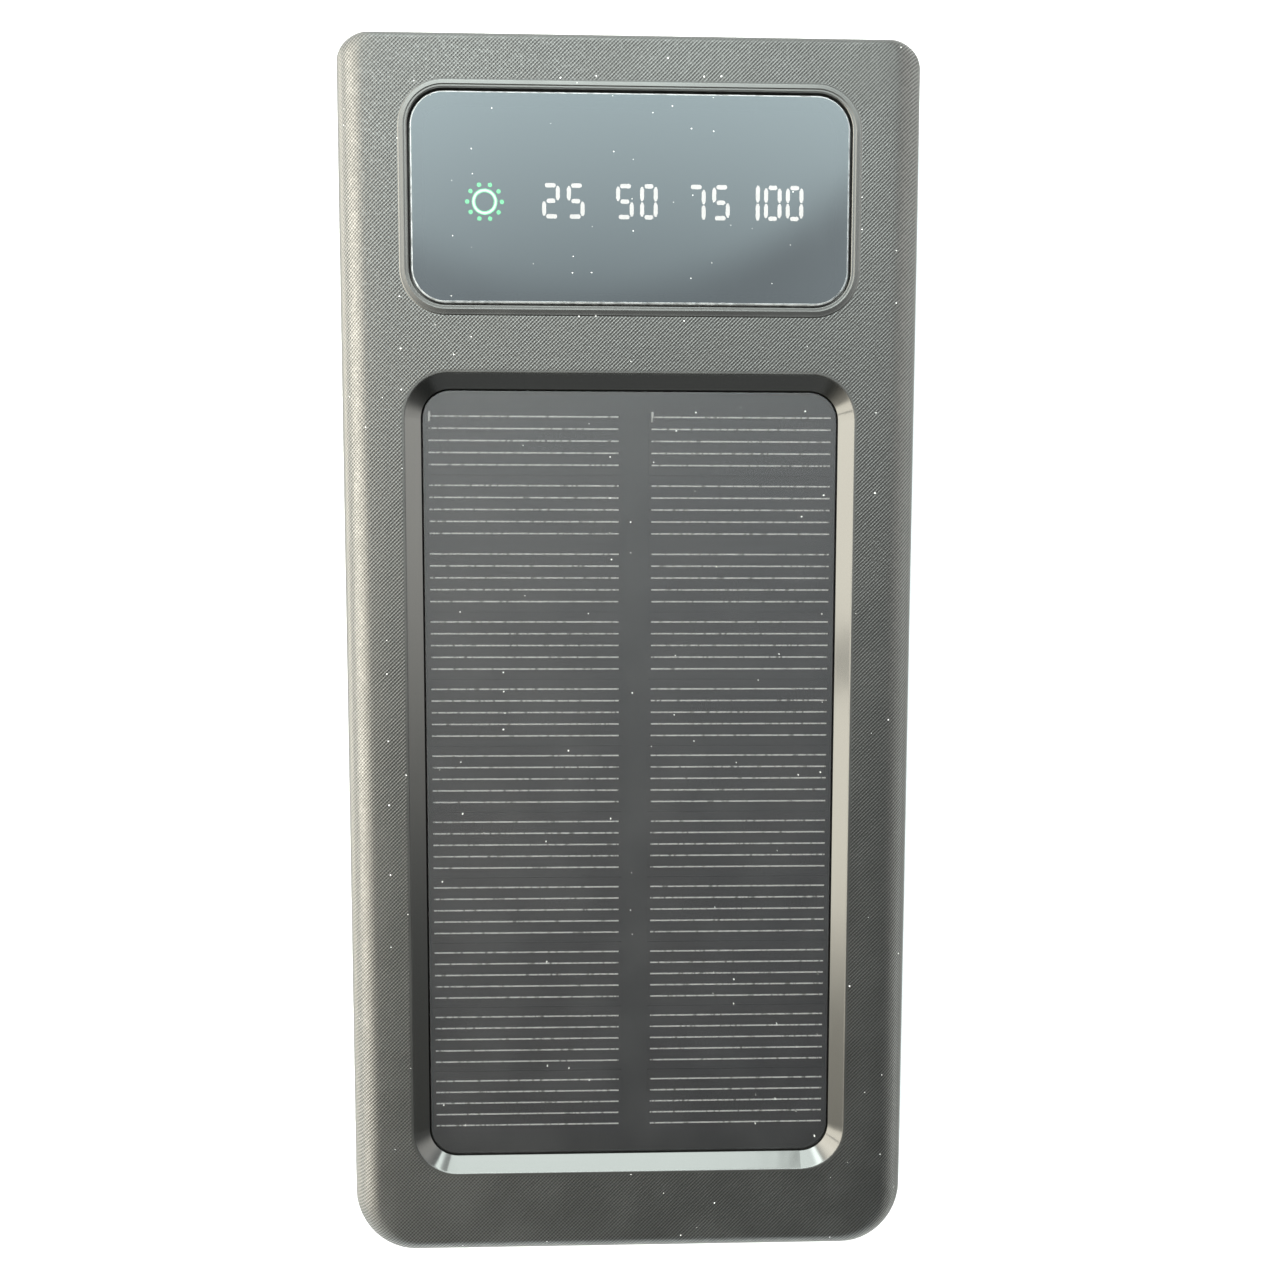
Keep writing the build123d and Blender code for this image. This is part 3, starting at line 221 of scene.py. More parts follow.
def skin(finish, **sockets):
    """A Principled surface. Colours that are plain numbers are set on the socket itself."""
    named = {key.replace("_", " "): value for key, value in sockets.items()}
    for key in ("Base Color", "Emission Color", "Specular Tint"):
        if key in named:
            named[key] = rgba(named[key])
    return finish.add("ShaderNodeBsdfPrincipled", None, named)["BSDF"]


def wear(material, *names):
    """Puts a material on CAD parts, in place of the plain one that they came with."""
    for name in names:
        slots = nodes[name].data.materials
        slots.clear()
        slots.append(material)
    print(material.name, "on", ", ".join(names))


def size_of(name):
    """A part's lowest and highest corner, in millimetres."""
    low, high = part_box(name)
    return low * millimetres, high * millimetres


print("the case is", size_of("front_housing")[1] - size_of("back_cover")[0], "mm")


# %% [markdown]
# ## Places that the shells share
# The display, its lip and the sloped recess round the solar panel are found from the parts that fill
# them, so a changed CAD size moves the finish with it. Their widths are distances out from the edge of
# the lens or of the panel's film, measured by one function for a rectangle with rounded corners.

# %% Display and recess, in millimetres
lens_low, lens_high = size_of("display_lens")
film_low, film_high = size_of("solar_film")
shell_top_end = size_of("front_housing")[1].y

lens_corner = 4.0
lens_bevel = 0.19
lip_edge = 1.3
lip_crest_edge = 0.60
lip_height = 0.35
recess_slope = 1.75
panel_gap = 0.2
panel_corner = 3.35
front_face = 17.0


def inside(finish, x, y, low, high, corner):
    """Distance from a rounded rectangle's edge in millimetres: below 0 inside it, above 0 outside."""
    reach_x = abs(x - (low.x + high.x) / 2) - ((high.x - low.x) / 2 - corner)
    reach_y = abs(y - (low.y + high.y) / 2) - ((high.y - low.y) / 2 - corner)
    out_x = reach_x.at_least(0.0)
    out_y = reach_y.at_least(0.0)
    corner_reach = (out_x * out_x + out_y * out_y).root()
    return corner_reach + reach_x.at_least(reach_y).at_most(0.0) - corner


print("display", lens_low, lens_high, "panel", film_low, film_high)


# %% [markdown]
# ## Cross-hatch of the case
# The shells are black plastic, moulded against a tool with a fine cross-hatch: ridges a third of a
# millimetre apart that lean to the right, and a fainter set that leans to the left. Painting the lines
# as colour would look printed on, and real ridges would need millions of faces. So the pattern is a
# height that only turns the surface's normal, and a second number is a painted shade for the grooves,
# which catch little light.

# %% The cross-hatch
ridge_pitch = 0.3245
ridge_height = 0.022
ridge_sharpness = 1.6
cross_height = 0.014
cross_fade = (-32.0, 22.0, 1.0, 0.35)
wobble_size, wobble_turns = 6.0, 0.06
break_size, break_fade = 0.5, (0.30, 0.55, 0.35, 1.0)
ridge_shade, break_shade, cross_shade = 0.55 * 0.75, 0.25 * 0.75, 0.30
lightest_shade, darkest_shade = 0.1, 0.95


def hatch(finish, point, x, y):
    """The tool's cross-hatch: its height in millimetres, and the painted shade of its grooves."""
    wobble = noise(finish, point, wobble_size, 1.0) * wobble_turns
    lean_right = ((x - y) / (ridge_pitch * math.sqrt(2)) + wobble) * math.tau
    lean_left = ((x + y) / (ridge_pitch * math.sqrt(2)) + wobble) * math.tau
    breaks = noise(finish, point, break_size, 1.0).ramp(*break_fade)
    cross = x.ramp(*cross_fade)
    right = (lean_right.sine() * 0.5 + 0.5) ** ridge_sharpness
    left = lean_left.sine() * 0.5 + 0.5
    height = right * breaks * ridge_height + left * cross * cross_height
    groove = (1.0 - right) * (ridge_shade + break_shade * breaks) + (1.0 - left * cross) * cross_shade
    return height, (groove - lightest_shade).at_least(0.0).at_most(darkest_shade)


print("ridges every", ridge_pitch, "mm")


# %% [markdown]
# ## Shape of the front face
# The front face isn't flat: it sinks a little towards its long sides, and the lip of the display swells
# up with a soft shoulder. Both are too low to see from the side, but they bend what the gloss mirrors.
# They are heights too, added to the cross-hatch, so the CAD faces stay as they are.

# %% Crown and shoulder
crown_start = 28.6
crown_run = 6.4
crown_drop = 0.62
shoulder_height = 0.08


def crown(x):
    """The front face sinks a little towards its long sides."""
    over = ((abs(x) - crown_start) / crown_run).at_least(0.0)
    return over * over * -crown_drop


def soft_shoulder(display):
    """Turns the straight slope of the display's lip into a low rounded one."""
    slope = lip_edge - lip_crest_edge
    climb = 1.0 - ((display - lip_crest_edge) / slope).at_least(0.0).at_most(1.0)
    return climb.ramp(0.0, 1.0) * shoulder_height - climb * lip_height


print("the long sides are", crown_drop, "mm lower")


# %% [markdown]
# ## Case plastic
# A ridge faces the light and mirrors it, and a groove is in the shade of its neighbours. One Principled
# surface with stripes of roughness can't show both, so two are mixed: a glossy one for the ridges and a
# dull one that is painted shade for the grooves, shared out by the groove number. The smooth parts get a
# fixed share of that painted shade. The lip of the display and the side walls are smooth, and the slope
# round the solar panel is polished. A little dust has settled on the front.
# Real case plastic has an index of refraction near 1.5. The two here were chosen by trial, one above it
# and one below, for how bright the case should look under this studio's light.

# %% The shells
ridge_ior = 2.25
groove_ior = 1.2
plain_shade = 0.35
front_rise = (front_face - 2.6, front_face - 0.9)
back_rise = (1.5, 0.3)
hatch_stops = (shell_top_end - 0.9, shell_top_end - 0.3, 1.0, 0.0)
hatch_clears_lip = (lip_edge, lip_edge + 0.35)
hatch_clears_slope = (0.05, 0.45)
slope_polish = (-0.25, 0.1, 1.0, 0.0)
lip_gloss = (lip_edge - 0.1, lip_edge + 0.4)
grain_height, polish_wave_height = 0.003, 0.012
satin_range = (0.3, 0.7, 0.35, 0.41)
smooth_lip, polished_slope, groove_dullness = 0.06, 0.10, 0.6
# The shells' reflections are tinted warm in the surface itself, a painted tint of the reflected light.
warm_reflection_tint = (1.0, 0.985, 0.93)
dust_colour = (0.80, 0.79, 0.76)


def case_plastic():
    finish = Finish("case_plastic")
    point = place(finish)
    x, y, z = axes(finish, point)
    display = inside(finish, x, y, lens_low, lens_high, lens_corner)
    recess = inside(finish, x, y, film_low, film_high, panel_corner) - panel_gap - recess_slope
    front = z.ramp(*front_rise)
    patterned = front * display.ramp(*hatch_clears_lip) * recess.ramp(*hatch_clears_slope)
    hatched = (patterned * y.ramp(*hatch_stops)).at_least(z.ramp(*back_rise))
    polished = recess.ramp(*slope_polish) * front
    grain = noise(finish, point, 0.12, 2.0) * grain_height
    waves = noise(finish, stretched(finish, point, (1.0, 0.35, 1.0)), 2.4, 1.0) * polish_wave_height
    ridges, groove = hatch(finish, point, x, y)
    height = ridges * hatched + grain * (1 - polished) + waves * polished
    normal = relief(finish, height + (crown(x) + soft_shoulder(display)) * front)
    dust = specks(finish, point, 2.1, 0.085, 0.09, True) * (1 - polished) * front
    black = mixed(finish, noise(finish, point, 14.0, 2.0), (0.008, 0.008, 0.007), (0.011, 0.011, 0.010))
    satin = noise(finish, point, 5.0, 2.0).ramp(*satin_range)
    lip = 1 - display.ramp(*lip_gloss)
    roughness = (satin - smooth_lip * lip * front) * (1 - polished) + polished_slope * polished
    lit = skin(
        finish, Base_Color=mixed(finish, dust, black, dust_colour), Roughness=roughness,
        Normal=normal, IOR=ridge_ior, Specular_Tint=warm_reflection_tint,
    )
    shaded = skin(finish, Base_Color=black, Roughness=groove_dullness, Normal=normal, IOR=groove_ior)
    # The dull copy is painted shade: it darkens the grooves, and a fixed share of it darkens the smooth
    # parts.
    groove_shade_share = groove * hatched * (1 - dust) + plain_shade * (1 - hatched)
    return finish.surface(finish.add("ShaderNodeMixShader", None, {0: groove_shade_share, 1: lit, 2: shaded})[0])


wear(case_plastic(), "front_housing", "back_cover")


# %% [markdown]
# ## Mouldings
# The port panel, the button, the socket tongues, the light shade and the chips are plain mouldings.
# They share one recipe: a colour that drifts a little, a fine spark-eroded grain and small roughness
# changes from handling. Each gets its own colour, gloss and grain size.

# %% A moulding recipe
handling = 0.06


def moulding(name, colour, gloss, grain_size, grain_height, drift=0.25):
    finish = Finish(name)
    point = place(finish)
    tone = noise(finish, point, 5.0, 3.0)
    height = noise(finish, point, grain_size, 2.0) * grain_height
    touched = noise(finish, point, 1.7, 2.0)
    return finish.surface(skin(
        finish, Base_Color=mixed(finish, tone, scaled_by(colour, 1 - drift), scaled_by(colour, 1 + drift)),
        Roughness=touched.ramp(0.3, 0.7, gloss - handling, gloss + handling),
        Normal=relief(finish, height),
    ))


# Name, colour, gloss, grain size, grain height and, for the pale ones, a smaller drift of the colour.
for recipe, parts in (
    (("panel_plastic", (0.012, 0.012, 0.012), 0.32, 0.18, 0.004), ("port_panel",)),
    (("button_plastic", (0.014, 0.014, 0.014), 0.38, 0.14, 0.004), ("power_button",)),
    (("shade_plastic", (0.010, 0.010, 0.010), 0.65, 0.15, 0.006), ("light_shade",)),
    (("socket_plastic", (0.70, 0.71, 0.69), 0.40, 0.20, 0.002, 0.05), ("usb_a_tongues", "usb_c_tongue")),
    (("switch_body", (0.045, 0.045, 0.047), 0.45, 0.12, 0.003), ("tact_switch",)),
    (("switch_plunger", (0.60, 0.58, 0.52), 0.35, 0.12, 0.002, 0.06), ("switch_plunger",)),
    (("chip_plastic", (0.030, 0.030, 0.031), 0.55, 0.08, 0.006), ("control_chips", "protection_chips")),
):
    wear(moulding(*recipe), *parts)


# %% [markdown]
# ## Display
# The display is a smoked acrylic lens. Its lit symbols stand in pockets under a thin skin, so they can't
# be seen until they glow. Real smoke takes light away through the thickness, which needs long light
# paths, so here the lens is a glossy dark surface that lets part of the light through, and the roof of
# each pocket lets all of it through. The bevelled rim is painted pale with nicks, a painted highlight
# for the bright line where its chamfer catches the light. The index of 2.1 is far above real acrylic's
# 1.49 and was chosen by trial, for a brighter reflection.

# %% Smoked lens
light_top = size_of("level_100")[1].z
sun_low, sun_high = size_of("sun_light")
pocket_roof_start = 0.01
skin_rise = (light_top + 0.06, light_top + 0.10)
see_through = 0.06
smear_gloss = (0.35, 0.75, 0.05, 0.09)
# The rim's pale colour is a painted highlight where the chamfer catches the light.
rim_highlight_colour, rim_dullness = (0.55, 0.57, 0.57), 0.25
# The lens's reflections are tinted cool in the surface itself, a painted tint of the reflected light.
lens_ior, cool_reflection_tint = 2.1, (0.87, 0.97, 1.0)


def smoked_lens():
    finish = Finish("smoked_lens")
    point = place(finish)
    x, y, z = axes(finish, point)
    dust = specks(finish, point, 2.35, 0.07, 0.14, True)
    smears = noise(finish, stretched(finish, point, (1.0, 0.4, 1.0)), 7.0, 3.0)
    rim = inside(finish, x, y, lens_low, lens_high, lens_corner) > -lens_bevel
    nicks = noise(finish, point, 0.8, 2.0).ramp(0.3, 0.6, 0.5, 1.0)
    smoke = mixed(finish, dust, (0.006, 0.007, 0.008), (0.75, 0.75, 0.72))
    outer = z.ramp(*skin_rise)
    pocket_roof = z > light_top + pocket_roof_start
    alpha = (1.0 - pocket_roof * (1.0 - outer) - outer * see_through).at_least(dust).at_least(rim)
    return finish.surface(skin(
        # The bevel's pale colour is a painted highlight.
        finish, Base_Color=mixed(finish, rim * nicks, smoke, rim_highlight_colour),
        Roughness=smears.ramp(*smear_gloss) + rim_dullness * rim, Alpha=alpha,
        IOR=lens_ior, Specular_Tint=cool_reflection_tint,
    ))


wear(smoked_lens(), "display_lens")


# %% [markdown]
# ## Lit symbols
# The numbers are warm white and the sun is green, with a ring so bright that its middle line burns to
# white. Each is a clear light guide that glows at its top, so emission is the whole of its look. A
# little unevenness from the diode below keeps it from looking like paper, and the ring's white line is
# found from the distance to the sun's centre.

# %% Glowing light guides
top_depth = 0.02
dimmest = 0.8
ring_radius = 1.29
ring_half_width = 0.15
burnt_white = (0.9, 1.0, 0.92)


def light_guide(name, colour, strength, patch, ringed=False):
    finish = Finish(name)
    point = place(finish)
    x, y, z = axes(finish, point)
    uneven = noise(finish, point, patch, 1.0)
    glow = mixed(finish, uneven, scaled_by(colour, dimmest), colour)
    if ringed:
        reach_x = x - (sun_low.x + sun_high.x) / 2
        reach_y = y - (sun_low.y + sun_high.y) / 2
        off_line = abs((reach_x * reach_x + reach_y * reach_y).root() - ring_radius)
        off_line = off_line.ramp(ring_half_width * 0.5, ring_half_width * 0.9)
        glow = mixed(finish, off_line, burnt_white, glow)
    top = z > light_top - top_depth
    return finish.surface(skin(
        finish, Base_Color=mixed(finish, top, (0.02, 0.02, 0.02), (0.6, 0.6, 0.58)), Roughness=0.3,
        Emission_Color=mixed(finish, top, (0.0, 0.0, 0.0), glow), Emission_Strength=strength,
    ))


numbers = ("level_25", "level_50", "level_75", "level_100")
wear(light_guide("number_light", (1.0, 0.95, 0.88), 12.5, 0.9), *numbers)
wear(light_guide("sun_light", (0.11, 1.0, 0.32), 14.5, 0.6, True), "sun_light")


# %% [markdown]
# ## Solar panel
# The cells are thin slices of dark silicon under a satin film, with printed silver fingers. The film
# scatters light, which is why the panel looks grey and not black in a bright room. A frosted glass
# shader would be slow and noisy over such fine lines, so the film is a satin surface that is mostly
# clear, and the cells keep a blue to violet drift of their own. The indices of film and cells were
# chosen by trial too.

# %% Film, cells, fingers and board
film_ior = 2.0
film_cover, sparkle_cover = 0.36, 0.03
cell_ior = 1.85
weave_pitch = 0.6


def solar_film():
    finish = Finish("solar_film")
    point = place(finish)
    sparkle = noise(finish, point, 0.22, 2.0)
    satin = noise(finish, point, 6.0, 2.0).ramp(0.3, 0.7, 0.44, 0.50)
    dust = specks(finish, point, 2.6, 0.08, 0.12, True)
    colour = mixed(finish, dust, (0.006, 0.006, 0.006), (0.6, 0.6, 0.57))
    alpha = (film_cover + sparkle_cover * sparkle).at_least(dust)
    return finish.surface(skin(
        finish, Base_Color=colour, Roughness=satin, Alpha=alpha, IOR=film_ior,
        Normal=relief(finish, sparkle * 0.001),
    ))


def solar_cell():
    finish = Finish("solar_cell")
    point = place(finish)
    etch = noise(finish, point, 0.6, 2.0)
    tint = noise(finish, point, 11.0, 2.0)
    colour = mixed(finish, tint, (0.003, 0.004, 0.009), (0.011, 0.005, 0.006))
    roughness = etch.ramp(0.3, 0.7, 0.42, 0.48)
    return finish.surface(skin(
        finish, Base_Color=colour, Roughness=roughness, Normal=relief(finish, etch * 0.001), IOR=cell_ior,
    ))


def finger_silver():
    finish = Finish("finger_silver")
    point = place(finish)
    broken = noise(finish, stretched(finish, point, (1.0, 0.3, 1.0)), 0.35, 2.0)
    print_edge = broken.ramp(0.30, 0.50)
    colour = mixed(finish, print_edge, (0.18, 0.18, 0.17), (0.74, 0.73, 0.70))
    return finish.surface(skin(
        finish, Base_Color=colour, Roughness=0.55 - 0.1 * print_edge, Metallic=0.15 * print_edge,
        Normal=relief(finish, broken * 0.01),
    ))


def panel_board():
    finish = Finish("panel_board")
    point = place(finish)
    x, y, z = axes(finish, point)
    weave = (x * (math.tau / weave_pitch)).sine() * (y * (math.tau / weave_pitch)).sine()
    colour = mixed(finish, noise(finish, point, 3.0), (0.004, 0.004, 0.005), (0.007, 0.007, 0.007))
    return finish.surface(skin(
        finish, Base_Color=colour, Roughness=0.5 + 0.04 * weave, Normal=relief(finish, weave * 0.002),
        IOR=cell_ior,
    ))


wear(solar_film(), "solar_film")
wear(solar_cell(), "solar_cells_left", "solar_cells_right")
wear(finger_silver(), "cell_fingers")
wear(panel_board(), "solar_board")


# %% [markdown]
# ## Metals
# The socket shells are stamped and plated, the screws are zinc-plated, the contacts are gold over nickel
# and the battery tabs are rolled nickel. All are metals whose look comes from fine lines left by making:
# one recipe stretches noise along the rolling or turning direction and uses it for gloss and height.

# %% A metal recipe
line_share, patch_share, least_roughness = 0.16, 0.10, 0.04


def metal(name, colour, gloss, stretch, line_size, line_height, stain=0.12):
    finish = Finish(name)
    point = place(finish)
    lines = noise(finish, stretched(finish, point, stretch), line_size, 3.0)
    patches = noise(finish, point, 2.5, 3.0)
    middle = gloss - (line_share + patch_share) / 2
    return finish.surface(skin(
        finish, Base_Color=mixed(finish, patches, scaled_by(colour, 1 - stain), colour), Metallic=1.0,
        Roughness=(lines * line_share + patches * patch_share + middle).at_least(least_roughness),
        Normal=relief(finish, lines * line_height),
    ))


# Name, colour, gloss, stretch of the lines, their size and height and, where it is more, the stain.
shells = ("usb_a_shell_left", "usb_a_shell_right", "usb_c_shell")
screws = ("case_screws", "board_screws")
contacts = ("usb_a_contacts", "usb_c_contacts")
for recipe, parts in (
    (("socket_steel", (0.74, 0.74, 0.73), 0.28, (1.0, 0.08, 1.0), 0.12, 0.0015), shells),
    (("screw_steel", (0.66, 0.67, 0.70), 0.34, (1.0, 1.0, 0.2), 0.15, 0.003, 0.2), screws),
    (("contact_gold", (0.95, 0.72, 0.32), 0.22, (1.0, 0.1, 1.0), 0.10, 0.001), contacts),
    (("tab_nickel", (0.72, 0.70, 0.66), 0.32, (1.0, 0.06, 1.0), 0.10, 0.002), ("cell_tabs",)),
    (("lamp_leg", (0.70, 0.69, 0.67), 0.35, (1.0, 0.1, 1.0), 0.10, 0.002, 0.2), ("torch_legs",)),
):
    wear(metal(*recipe), *parts)


# %% [markdown]
# ## Torch lamps
# The two torches are 5 mm epoxy lamps. Clear epoxy with the die and its cup inside reads as a bright,
# slightly milky dome, so the dome is see-through glass with a yellowish phosphor look near its base.

# %% Lamp epoxy
lamp_low, lamp_high = size_of("torch_lamp_left")


def lamp_epoxy():
    finish = Finish("lamp_epoxy")
    point = place(finish)
    x, y, z = axes(finish, point)
    along = y.ramp(lamp_low.y, lamp_high.y)
    colour = mixed(finish, along, (0.92, 0.84, 0.42), (0.86, 0.90, 0.93))
    haze = noise(finish, point, 0.8, 2.0)
    return finish.surface(skin(
        finish, Base_Color=colour, Roughness=haze.ramp(0.3, 0.7, 0.03, 0.10),
        Alpha=along.ramp(0.2, 1.0, 0.95, 0.62), IOR=1.53, Normal=relief(finish, haze * 0.004),
    ))


wear(lamp_epoxy(), "torch_lamp_left", "torch_lamp_right")


# %% [markdown]
# ## Circuit boards
# Under the green solder mask run raised copper tracks, and tinned pads show bare metal. A grid of random
# cells makes believable tracks: square rings round each cell's centre, cut off where two cells meet.

# %% Circuit board
track_cell = 1.6
tracks_per_cell = 4.2
track_height = 0.03
pad_height = 0.02


def circuit_board():
    finish = Finish("circuit_board")
    point = place(finish)
    settings = {"feature": "F1", "distance": "CHEBYCHEV"}
    sockets = {"Vector": point, "Scale": 1 / track_cell, "Randomness": 0.55}
    cells = finish.add("ShaderNodeTexVoronoi", settings, sockets)
    rings = (cells["Distance"] * tracks_per_cell).fraction()
    tracks = rings.ramp(0.42, 0.50) * rings.ramp(0.72, 0.80, 1.0, 0.0)
    pads = specks(finish, point, 1.9, 0.38, 0.35)
    vias = specks(finish, point, 1.3, 0.13, 0.5)
    mask_tone = noise(finish, point, 3.0, 2.0)
    mask = mixed(finish, mask_tone, (0.010, 0.090, 0.035), (0.014, 0.120, 0.048))
    over_copper = mixed(finish, tracks, mask, (0.035, 0.200, 0.080))
    tin = mixed(finish, pads.at_least(vias), over_copper, (0.72, 0.71, 0.68))
    height = tracks * track_height + pads * pad_height
    return finish.surface(skin(
        finish, Base_Color=tin, Metallic=pads.at_least(vias), Roughness=0.30 + 0.12 * mask_tone,
        Normal=relief(finish, height),
    ))


wear(circuit_board(), "main_board", "light_board", "protection_board")


# %% [markdown]
# ## Parts on the boards
# The inductor is a pressed iron-powder block, the capacitors are tan ceramic with tinned ends, the light
# diodes are white packages with a yellow phosphor and the ribbon is amber film over copper lines.

# %% Inductor, capacitors, diodes and ribbon
def inductor():
    finish = Finish("inductor")
    point = place(finish)
    grains = noise(finish, point, 0.09, 3.0)
    colour = mixed(finish, grains.ramp(0.35, 0.7), (0.045, 0.045, 0.048), (0.13, 0.13, 0.135))
    return finish.surface(skin(
        finish, Base_Color=colour, Roughness=0.75 - 0.2 * grains, Metallic=0.3 * grains,
        Normal=relief(finish, grains * 0.03),
    ))


capacitor_foot = size_of("board_capacitors")[0].z
diode_top = size_of("light_diodes")[1].z
copper_pitch = 0.5


def capacitor():
    finish = Finish("capacitor")
    point = place(finish)
    x, y, z = axes(finish, point)
    tone = noise(finish, point, 0.4, 2.0)
    body = mixed(finish, tone, (0.30, 0.20, 0.11), (0.40, 0.28, 0.17))
    tinned = 1 - z.ramp(capacitor_foot + 0.5, capacitor_foot + 0.9)
    return finish.surface(skin(
        finish, Base_Color=mixed(finish, tinned, body, (0.75, 0.74, 0.71)), Metallic=tinned,
        Roughness=0.42 - 0.1 * tone, Normal=relief(finish, tone * 0.01),
    ))


def diode():
    finish = Finish("diode")
    point = place(finish)
    x, y, z = axes(finish, point)
    top = z.ramp(diode_top - 0.08, diode_top - 0.02)
    tone = noise(finish, point, 0.25, 2.0)
    phosphor = mixed(finish, tone, (0.90, 0.72, 0.16), (0.95, 0.82, 0.30))
    return finish.surface(skin(
        finish, Base_Color=mixed(finish, top, (0.82, 0.82, 0.80), phosphor), Roughness=0.45 - 0.1 * tone,
        Normal=relief(finish, tone * 0.006),
    ))


def ribbon():
    finish = Finish("ribbon")
    point = place(finish)
    x, y, z = axes(finish, point)
    lines = (x * (math.tau / copper_pitch)).sine().ramp(0.1, 0.5)
    tone = noise(finish, point, 4.0, 2.0)
    film = mixed(finish, tone, (0.42, 0.17, 0.03), (0.52, 0.23, 0.05))
    return finish.surface(skin(
        finish, Base_Color=mixed(finish, lines, film, (0.78, 0.42, 0.16)), Roughness=0.28 + 0.06 * tone,
        Metallic=0.35 * lines, Normal=relief(finish, lines * 0.02),
    ))


wear(inductor(), "power_inductor")
wear(capacitor(), "board_capacitors")
wear(diode(), "light_diodes")
wear(ribbon(), "display_ribbon")


# %% [markdown]
# ## Battery, pads, adhesive and leads
# The pouch cells are wrapped in aluminium laminate that dimples over the stack inside. Foam pads and
# double-sided tape hold them, and silicone leads carry the current.

# %% Pouch foil, foam, tape and lead insulation
pore_size = 0.45
lead_shade = 0.75


def pouch_foil():
    finish = Finish("pouch_foil")
    point = place(finish)
    dimples = noise(finish, point, 5.0, 3.0)
    crinkle = noise(finish, stretched(finish, point, (1.0, 0.4, 1.0)), 0.8, 3.0)
    colour = mixed(finish, dimples, (0.58, 0.59, 0.60), (0.76, 0.77, 0.78))
    return finish.surface(skin(
        finish, Base_Color=colour, Metallic=0.9, Roughness=crinkle.ramp(0.3, 0.7, 0.24, 0.42),
        Normal=relief(finish, dimples * 0.12 + crinkle * 0.02),
    ))


def foam():
    finish = Finish("pad_foam")
    point = place(finish)
    pores = finish.add("ShaderNodeTexVoronoi", None, {"Vector": point, "Scale": 1 / pore_size})["Distance"]
    # The pores are darker towards their middles, where the relief sinks: a painted shade in the pits.
    colour = mixed(finish, pores.ramp(0.1, 0.6), (0.015, 0.015, 0.016), (0.07, 0.07, 0.072))
    return finish.surface(skin(
        finish, Base_Color=colour, Roughness=0.95 - 0.1 * pores, Normal=relief(finish, pores * 0.12),
    ))


def adhesive():
    finish = Finish("adhesive")
    point = place(finish)
    fibres = noise(finish, stretched(finish, point, (1.0, 0.15, 1.0)), 0.4, 3.0)
    colour = mixed(finish, fibres, (0.55, 0.53, 0.46), (0.70, 0.69, 0.63))
    return finish.surface(skin(
        finish, Base_Color=colour, Roughness=0.55 + 0.2 * fibres, Normal=relief(finish, fibres * 0.02),
    ))


def insulation(name, colour):
    finish = Finish(name)
    point = place(finish)
    tone = noise(finish, point, 1.6, 3.0)
    return finish.surface(skin(
        finish, Base_Color=mixed(finish, tone, scaled_by(colour, lead_shade), colour),
        Roughness=0.34 + 0.12 * tone, Coat_Weight=0.15 * tone,
        Normal=relief(finish, noise(finish, point, 0.3) * 0.006),
    ))


wear(pouch_foil(), "battery_cell_upper", "battery_cell_lower")
wear(foam(), "cell_pad", "floor_pad")
wear(adhesive(), "lens_adhesive", "solar_adhesive")
wear(insulation("lead_red", (0.50, 0.018, 0.014)), "battery_lead_red", "solar_lead_red")
wear(insulation("lead_black", (0.022, 0.022, 0.024)), "battery_lead_black", "solar_lead_black")


# %% [markdown]
# ## Floor
# The charger lies on a plain pale sheet. It is a large flat grid with a faint paper grain, and the light
# makes it nearly white.

# %% Pale floor
floor_width = 3.0
floor_height = -0.0002


def floor_sheet():
    finish = Finish("floor_sheet")
    grain = noise(finish, place(finish), 1 / 0.9, 2.0)
    colour = mixed(finish, grain, (0.90, 0.90, 0.895), (0.94, 0.94, 0.935))
    return finish.surface(skin(finish, Base_Color=colour, Roughness=0.9))


bpy.ops.mesh.primitive_grid_add(
    x_subdivisions=8, y_subdivisions=8, size=floor_width, location=(0, 0, floor_height),
)
floor = bpy.context.object
floor.name = "floor"
floor.data.materials.append(floor_sheet())
print("the floor is", floor_width, "m wide")


# %% [markdown]
# ## Studio light
# Glossy black shows what it mirrors, so the light is the surroundings themselves: a soft dome whose
# brightness depends on the direction. Area lamps could do the same, but they mirror as hard rectangles
# and leave specks at few samples, while a dome has no lamp to miss. A direction is given by how far it
# points to the right, to the far end and up, each from -1 to 1, and every light is a product of smooth
# ramps over those three. The numbers aren't measured from a room. They were found by trial for the view
# from above, and from low on the right they give a strong glare.

# %% The window beyond the display
window_start, window_lean, window_bow = 0.220, 0.057, 1.68
pane_rise, pane_light, pane_climb = (-0.02, 0.03), 0.7, 30.0
strip_rise, strip_fall, strip_light, strip_lean = (0.43, 0.47), (0.58, 0.52), 19.0, 12.0
window_side, window_foot = (0.35, 0.8, 1.0, 0.3), (0.45, 0.72, 0.15, 1.0)
corner_far, corner_right, corner_shade = (0.45, 0.55), (0.14, 0.165), 0.8


def window_light(right, far, up):
    """A pane with a bowed edge, which the display mirrors, and a strip for the slope at the near end."""
    edge = far - window_start - right * window_lean - right * right * window_bow
    pane = edge.ramp(*pane_rise) * (pane_light + (far - 0.2) * pane_climb)
    strip = far.ramp(*strip_rise) * far.ramp(*strip_fall) * (strip_light + strip_lean * right)
    corner = 1.0 - far.ramp(*corner_far) * right.ramp(*corner_right) * corner_shade
    return (pane + strip) * right.ramp(*window_side) * up.ramp(*window_foot) * corner


print("the window starts at", window_start)


# %% [markdown]
# ## Side lights
# A warm light stands low on the left and lights the left wall and the slope across from it. Two darker
# bands in it, an end shade and a narrow bar, break that reflection up as the things in a room would. A
# weaker light stands on the right.

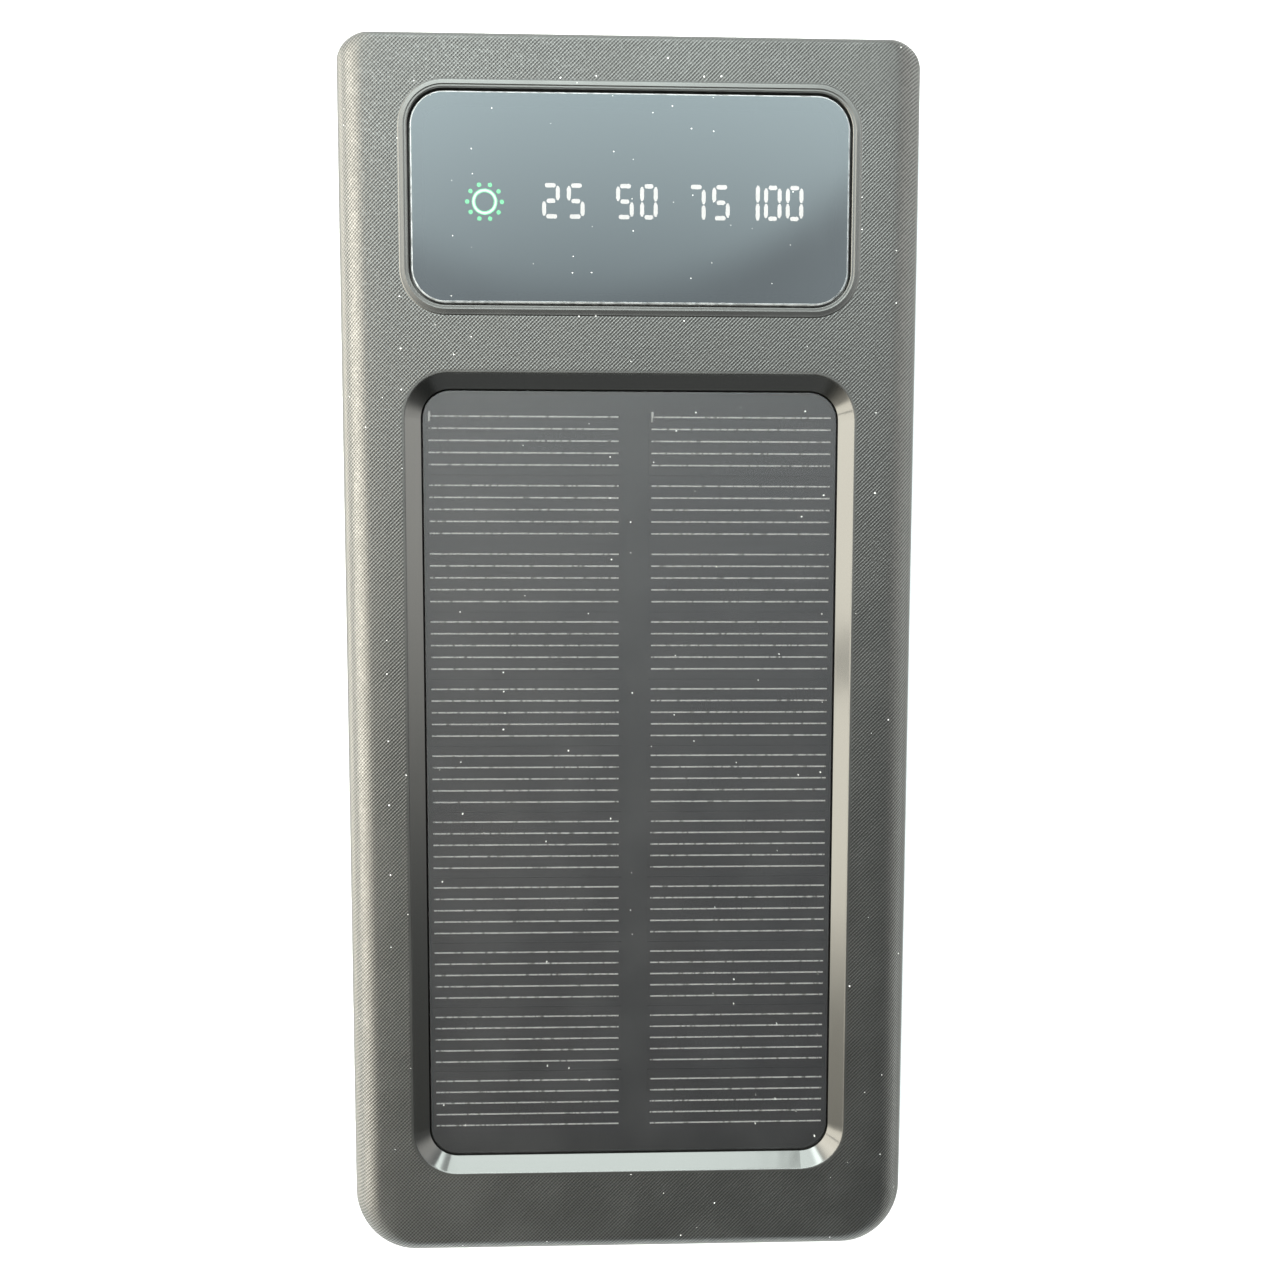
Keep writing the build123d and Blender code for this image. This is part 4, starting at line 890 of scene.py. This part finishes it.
# %% Warm light on the left, weak light on the right
warm_side, warm_along, warm_low = (-0.28, -0.70), (-0.85, -0.2), (0.45, 0.25, 1.0, 2.2)
warm_far = (0.3, 0.6, 1.0, 0.3)
end_up, end_far, end_shade = (0.30, 0.42), (-0.28, -0.40), 0.65
bar_up, bar_far, bar_half_width, bar_shade = (0.36, 0.44), -0.09, 0.022, 0.6
weak_side, weak_along = (0.5, 0.85), (-0.35, 0.1, 0.10, 1.0)


def warm_light(right, far, up):
    end = up.ramp(*end_up) * far.ramp(*end_far) * end_shade
    bar = up.ramp(*bar_up) * (abs(far - bar_far) < bar_half_width) * bar_shade
    glow = right.ramp(*warm_side) * far.ramp(*warm_along) * up.ramp(*warm_low)
    return glow * (1.0 - end) * (1.0 - bar) * far.ramp(*warm_far)


def weak_light(right, far):
    return right.ramp(*weak_side) * far.ramp(*weak_along)


print("the warm light is full at", warm_side[1])


# %% [markdown]
# ## The dome
# The rest of the room is a base that is dim beyond the near end and brighter overhead, a veil over the
# display, and a low glow beyond the near end. Each light gets its own tint, and Vector Math adds them up,
# because a Math node would turn the tints grey.

# %% A dome of light
across_range = (-0.25, 0.30, 1.08, 0.92)
base_range, under_rise, under_light = (-0.55, 0.16, 0.08, 1.85), (-0.72, -0.84), 0.6
veil_rise, veil_light, veil_spread, veil_top = (0.08, 0.21), 1.1, 30.0, (0.8, 0.9)
near_far, near_low = (-0.72, -0.95), (0.45, 0.30)
room_strength = 0.4


def studio_dome():
    world = bpy.data.worlds.new("studio")
    bpy.context.scene.world = world
    finish = Finish("studio", world)
    right, far, up = axes(finish, finish.add("ShaderNodeTexCoord")["Generated"])
    across = right.ramp(*across_range)
    base = far.ramp(*base_range) * across + far.ramp(*under_rise) * under_light
    veil = far.ramp(*veil_rise) * (veil_light + right * right * veil_spread * up.ramp(*veil_top)) * across
    near = far.ramp(*near_far) * up.ramp(*near_low)
    total = None
    for tint, brightness in (
        ((0.88, 1.0, 1.00), window_light(right, far, up)),
        ((1.0, 0.96, 0.85), warm_light(right, far, up) * 14.0),
        ((1.0, 0.99, 0.95), weak_light(right, far) * 4.5),
        ((0.95, 1.0, 1.06), base),
        ((0.96, 1.0, 1.0), veil),
        ((0.90, 1.0, 1.03), near * 9.0),
    ):
        sockets = {0: tint, "Scale": brightness}
        share = finish.add("ShaderNodeVectorMath", {"operation": "SCALE"}, sockets)["Vector"]
        if total is not None:
            share = finish.add("ShaderNodeVectorMath", {"operation": "ADD"}, {0: total, 1: share})["Vector"]
        total = share
    sockets = {"Color": total, "Strength": room_strength}
    finish.surface(finish.add("ShaderNodeBackground", None, sockets)[0])


studio_dome()
bpy.context.scene.view_settings.view_transform = "Standard"
print("the dome has", len(bpy.context.scene.world.node_tree.nodes), "nodes")


# %% [markdown]
# ## Camera
# The charger is looked at from straight above and close by, a little nearer its display end, so the
# display end comes out larger than the other end. The lens follows from the sensor's width and the
# picture's focal length, given as a share of its width.

# %% Camera
camera_place = Vector((-2.88, 13.05, 149.85)) / millimetres
camera_turn = Vector((-0.0737, -0.0302, 0.0006))
focal_share = 1102 / 1280
sensor_width = 36.0

camera_data = bpy.data.cameras.new("camera")
camera_data.sensor_width = sensor_width
camera_data.lens = sensor_width * focal_share
camera_data.clip_start = 0.01
camera = bpy.data.objects.new("camera", camera_data)
bpy.context.scene.collection.objects.link(camera)
turn = Matrix.Rotation(camera_turn.length, 4, camera_turn.normalized())
camera.matrix_world = Matrix.Translation(camera_place) @ turn
bpy.context.scene.camera = camera
print("the camera is", camera_place.z, "m up, with a lens of", camera_data.lens, "mm")
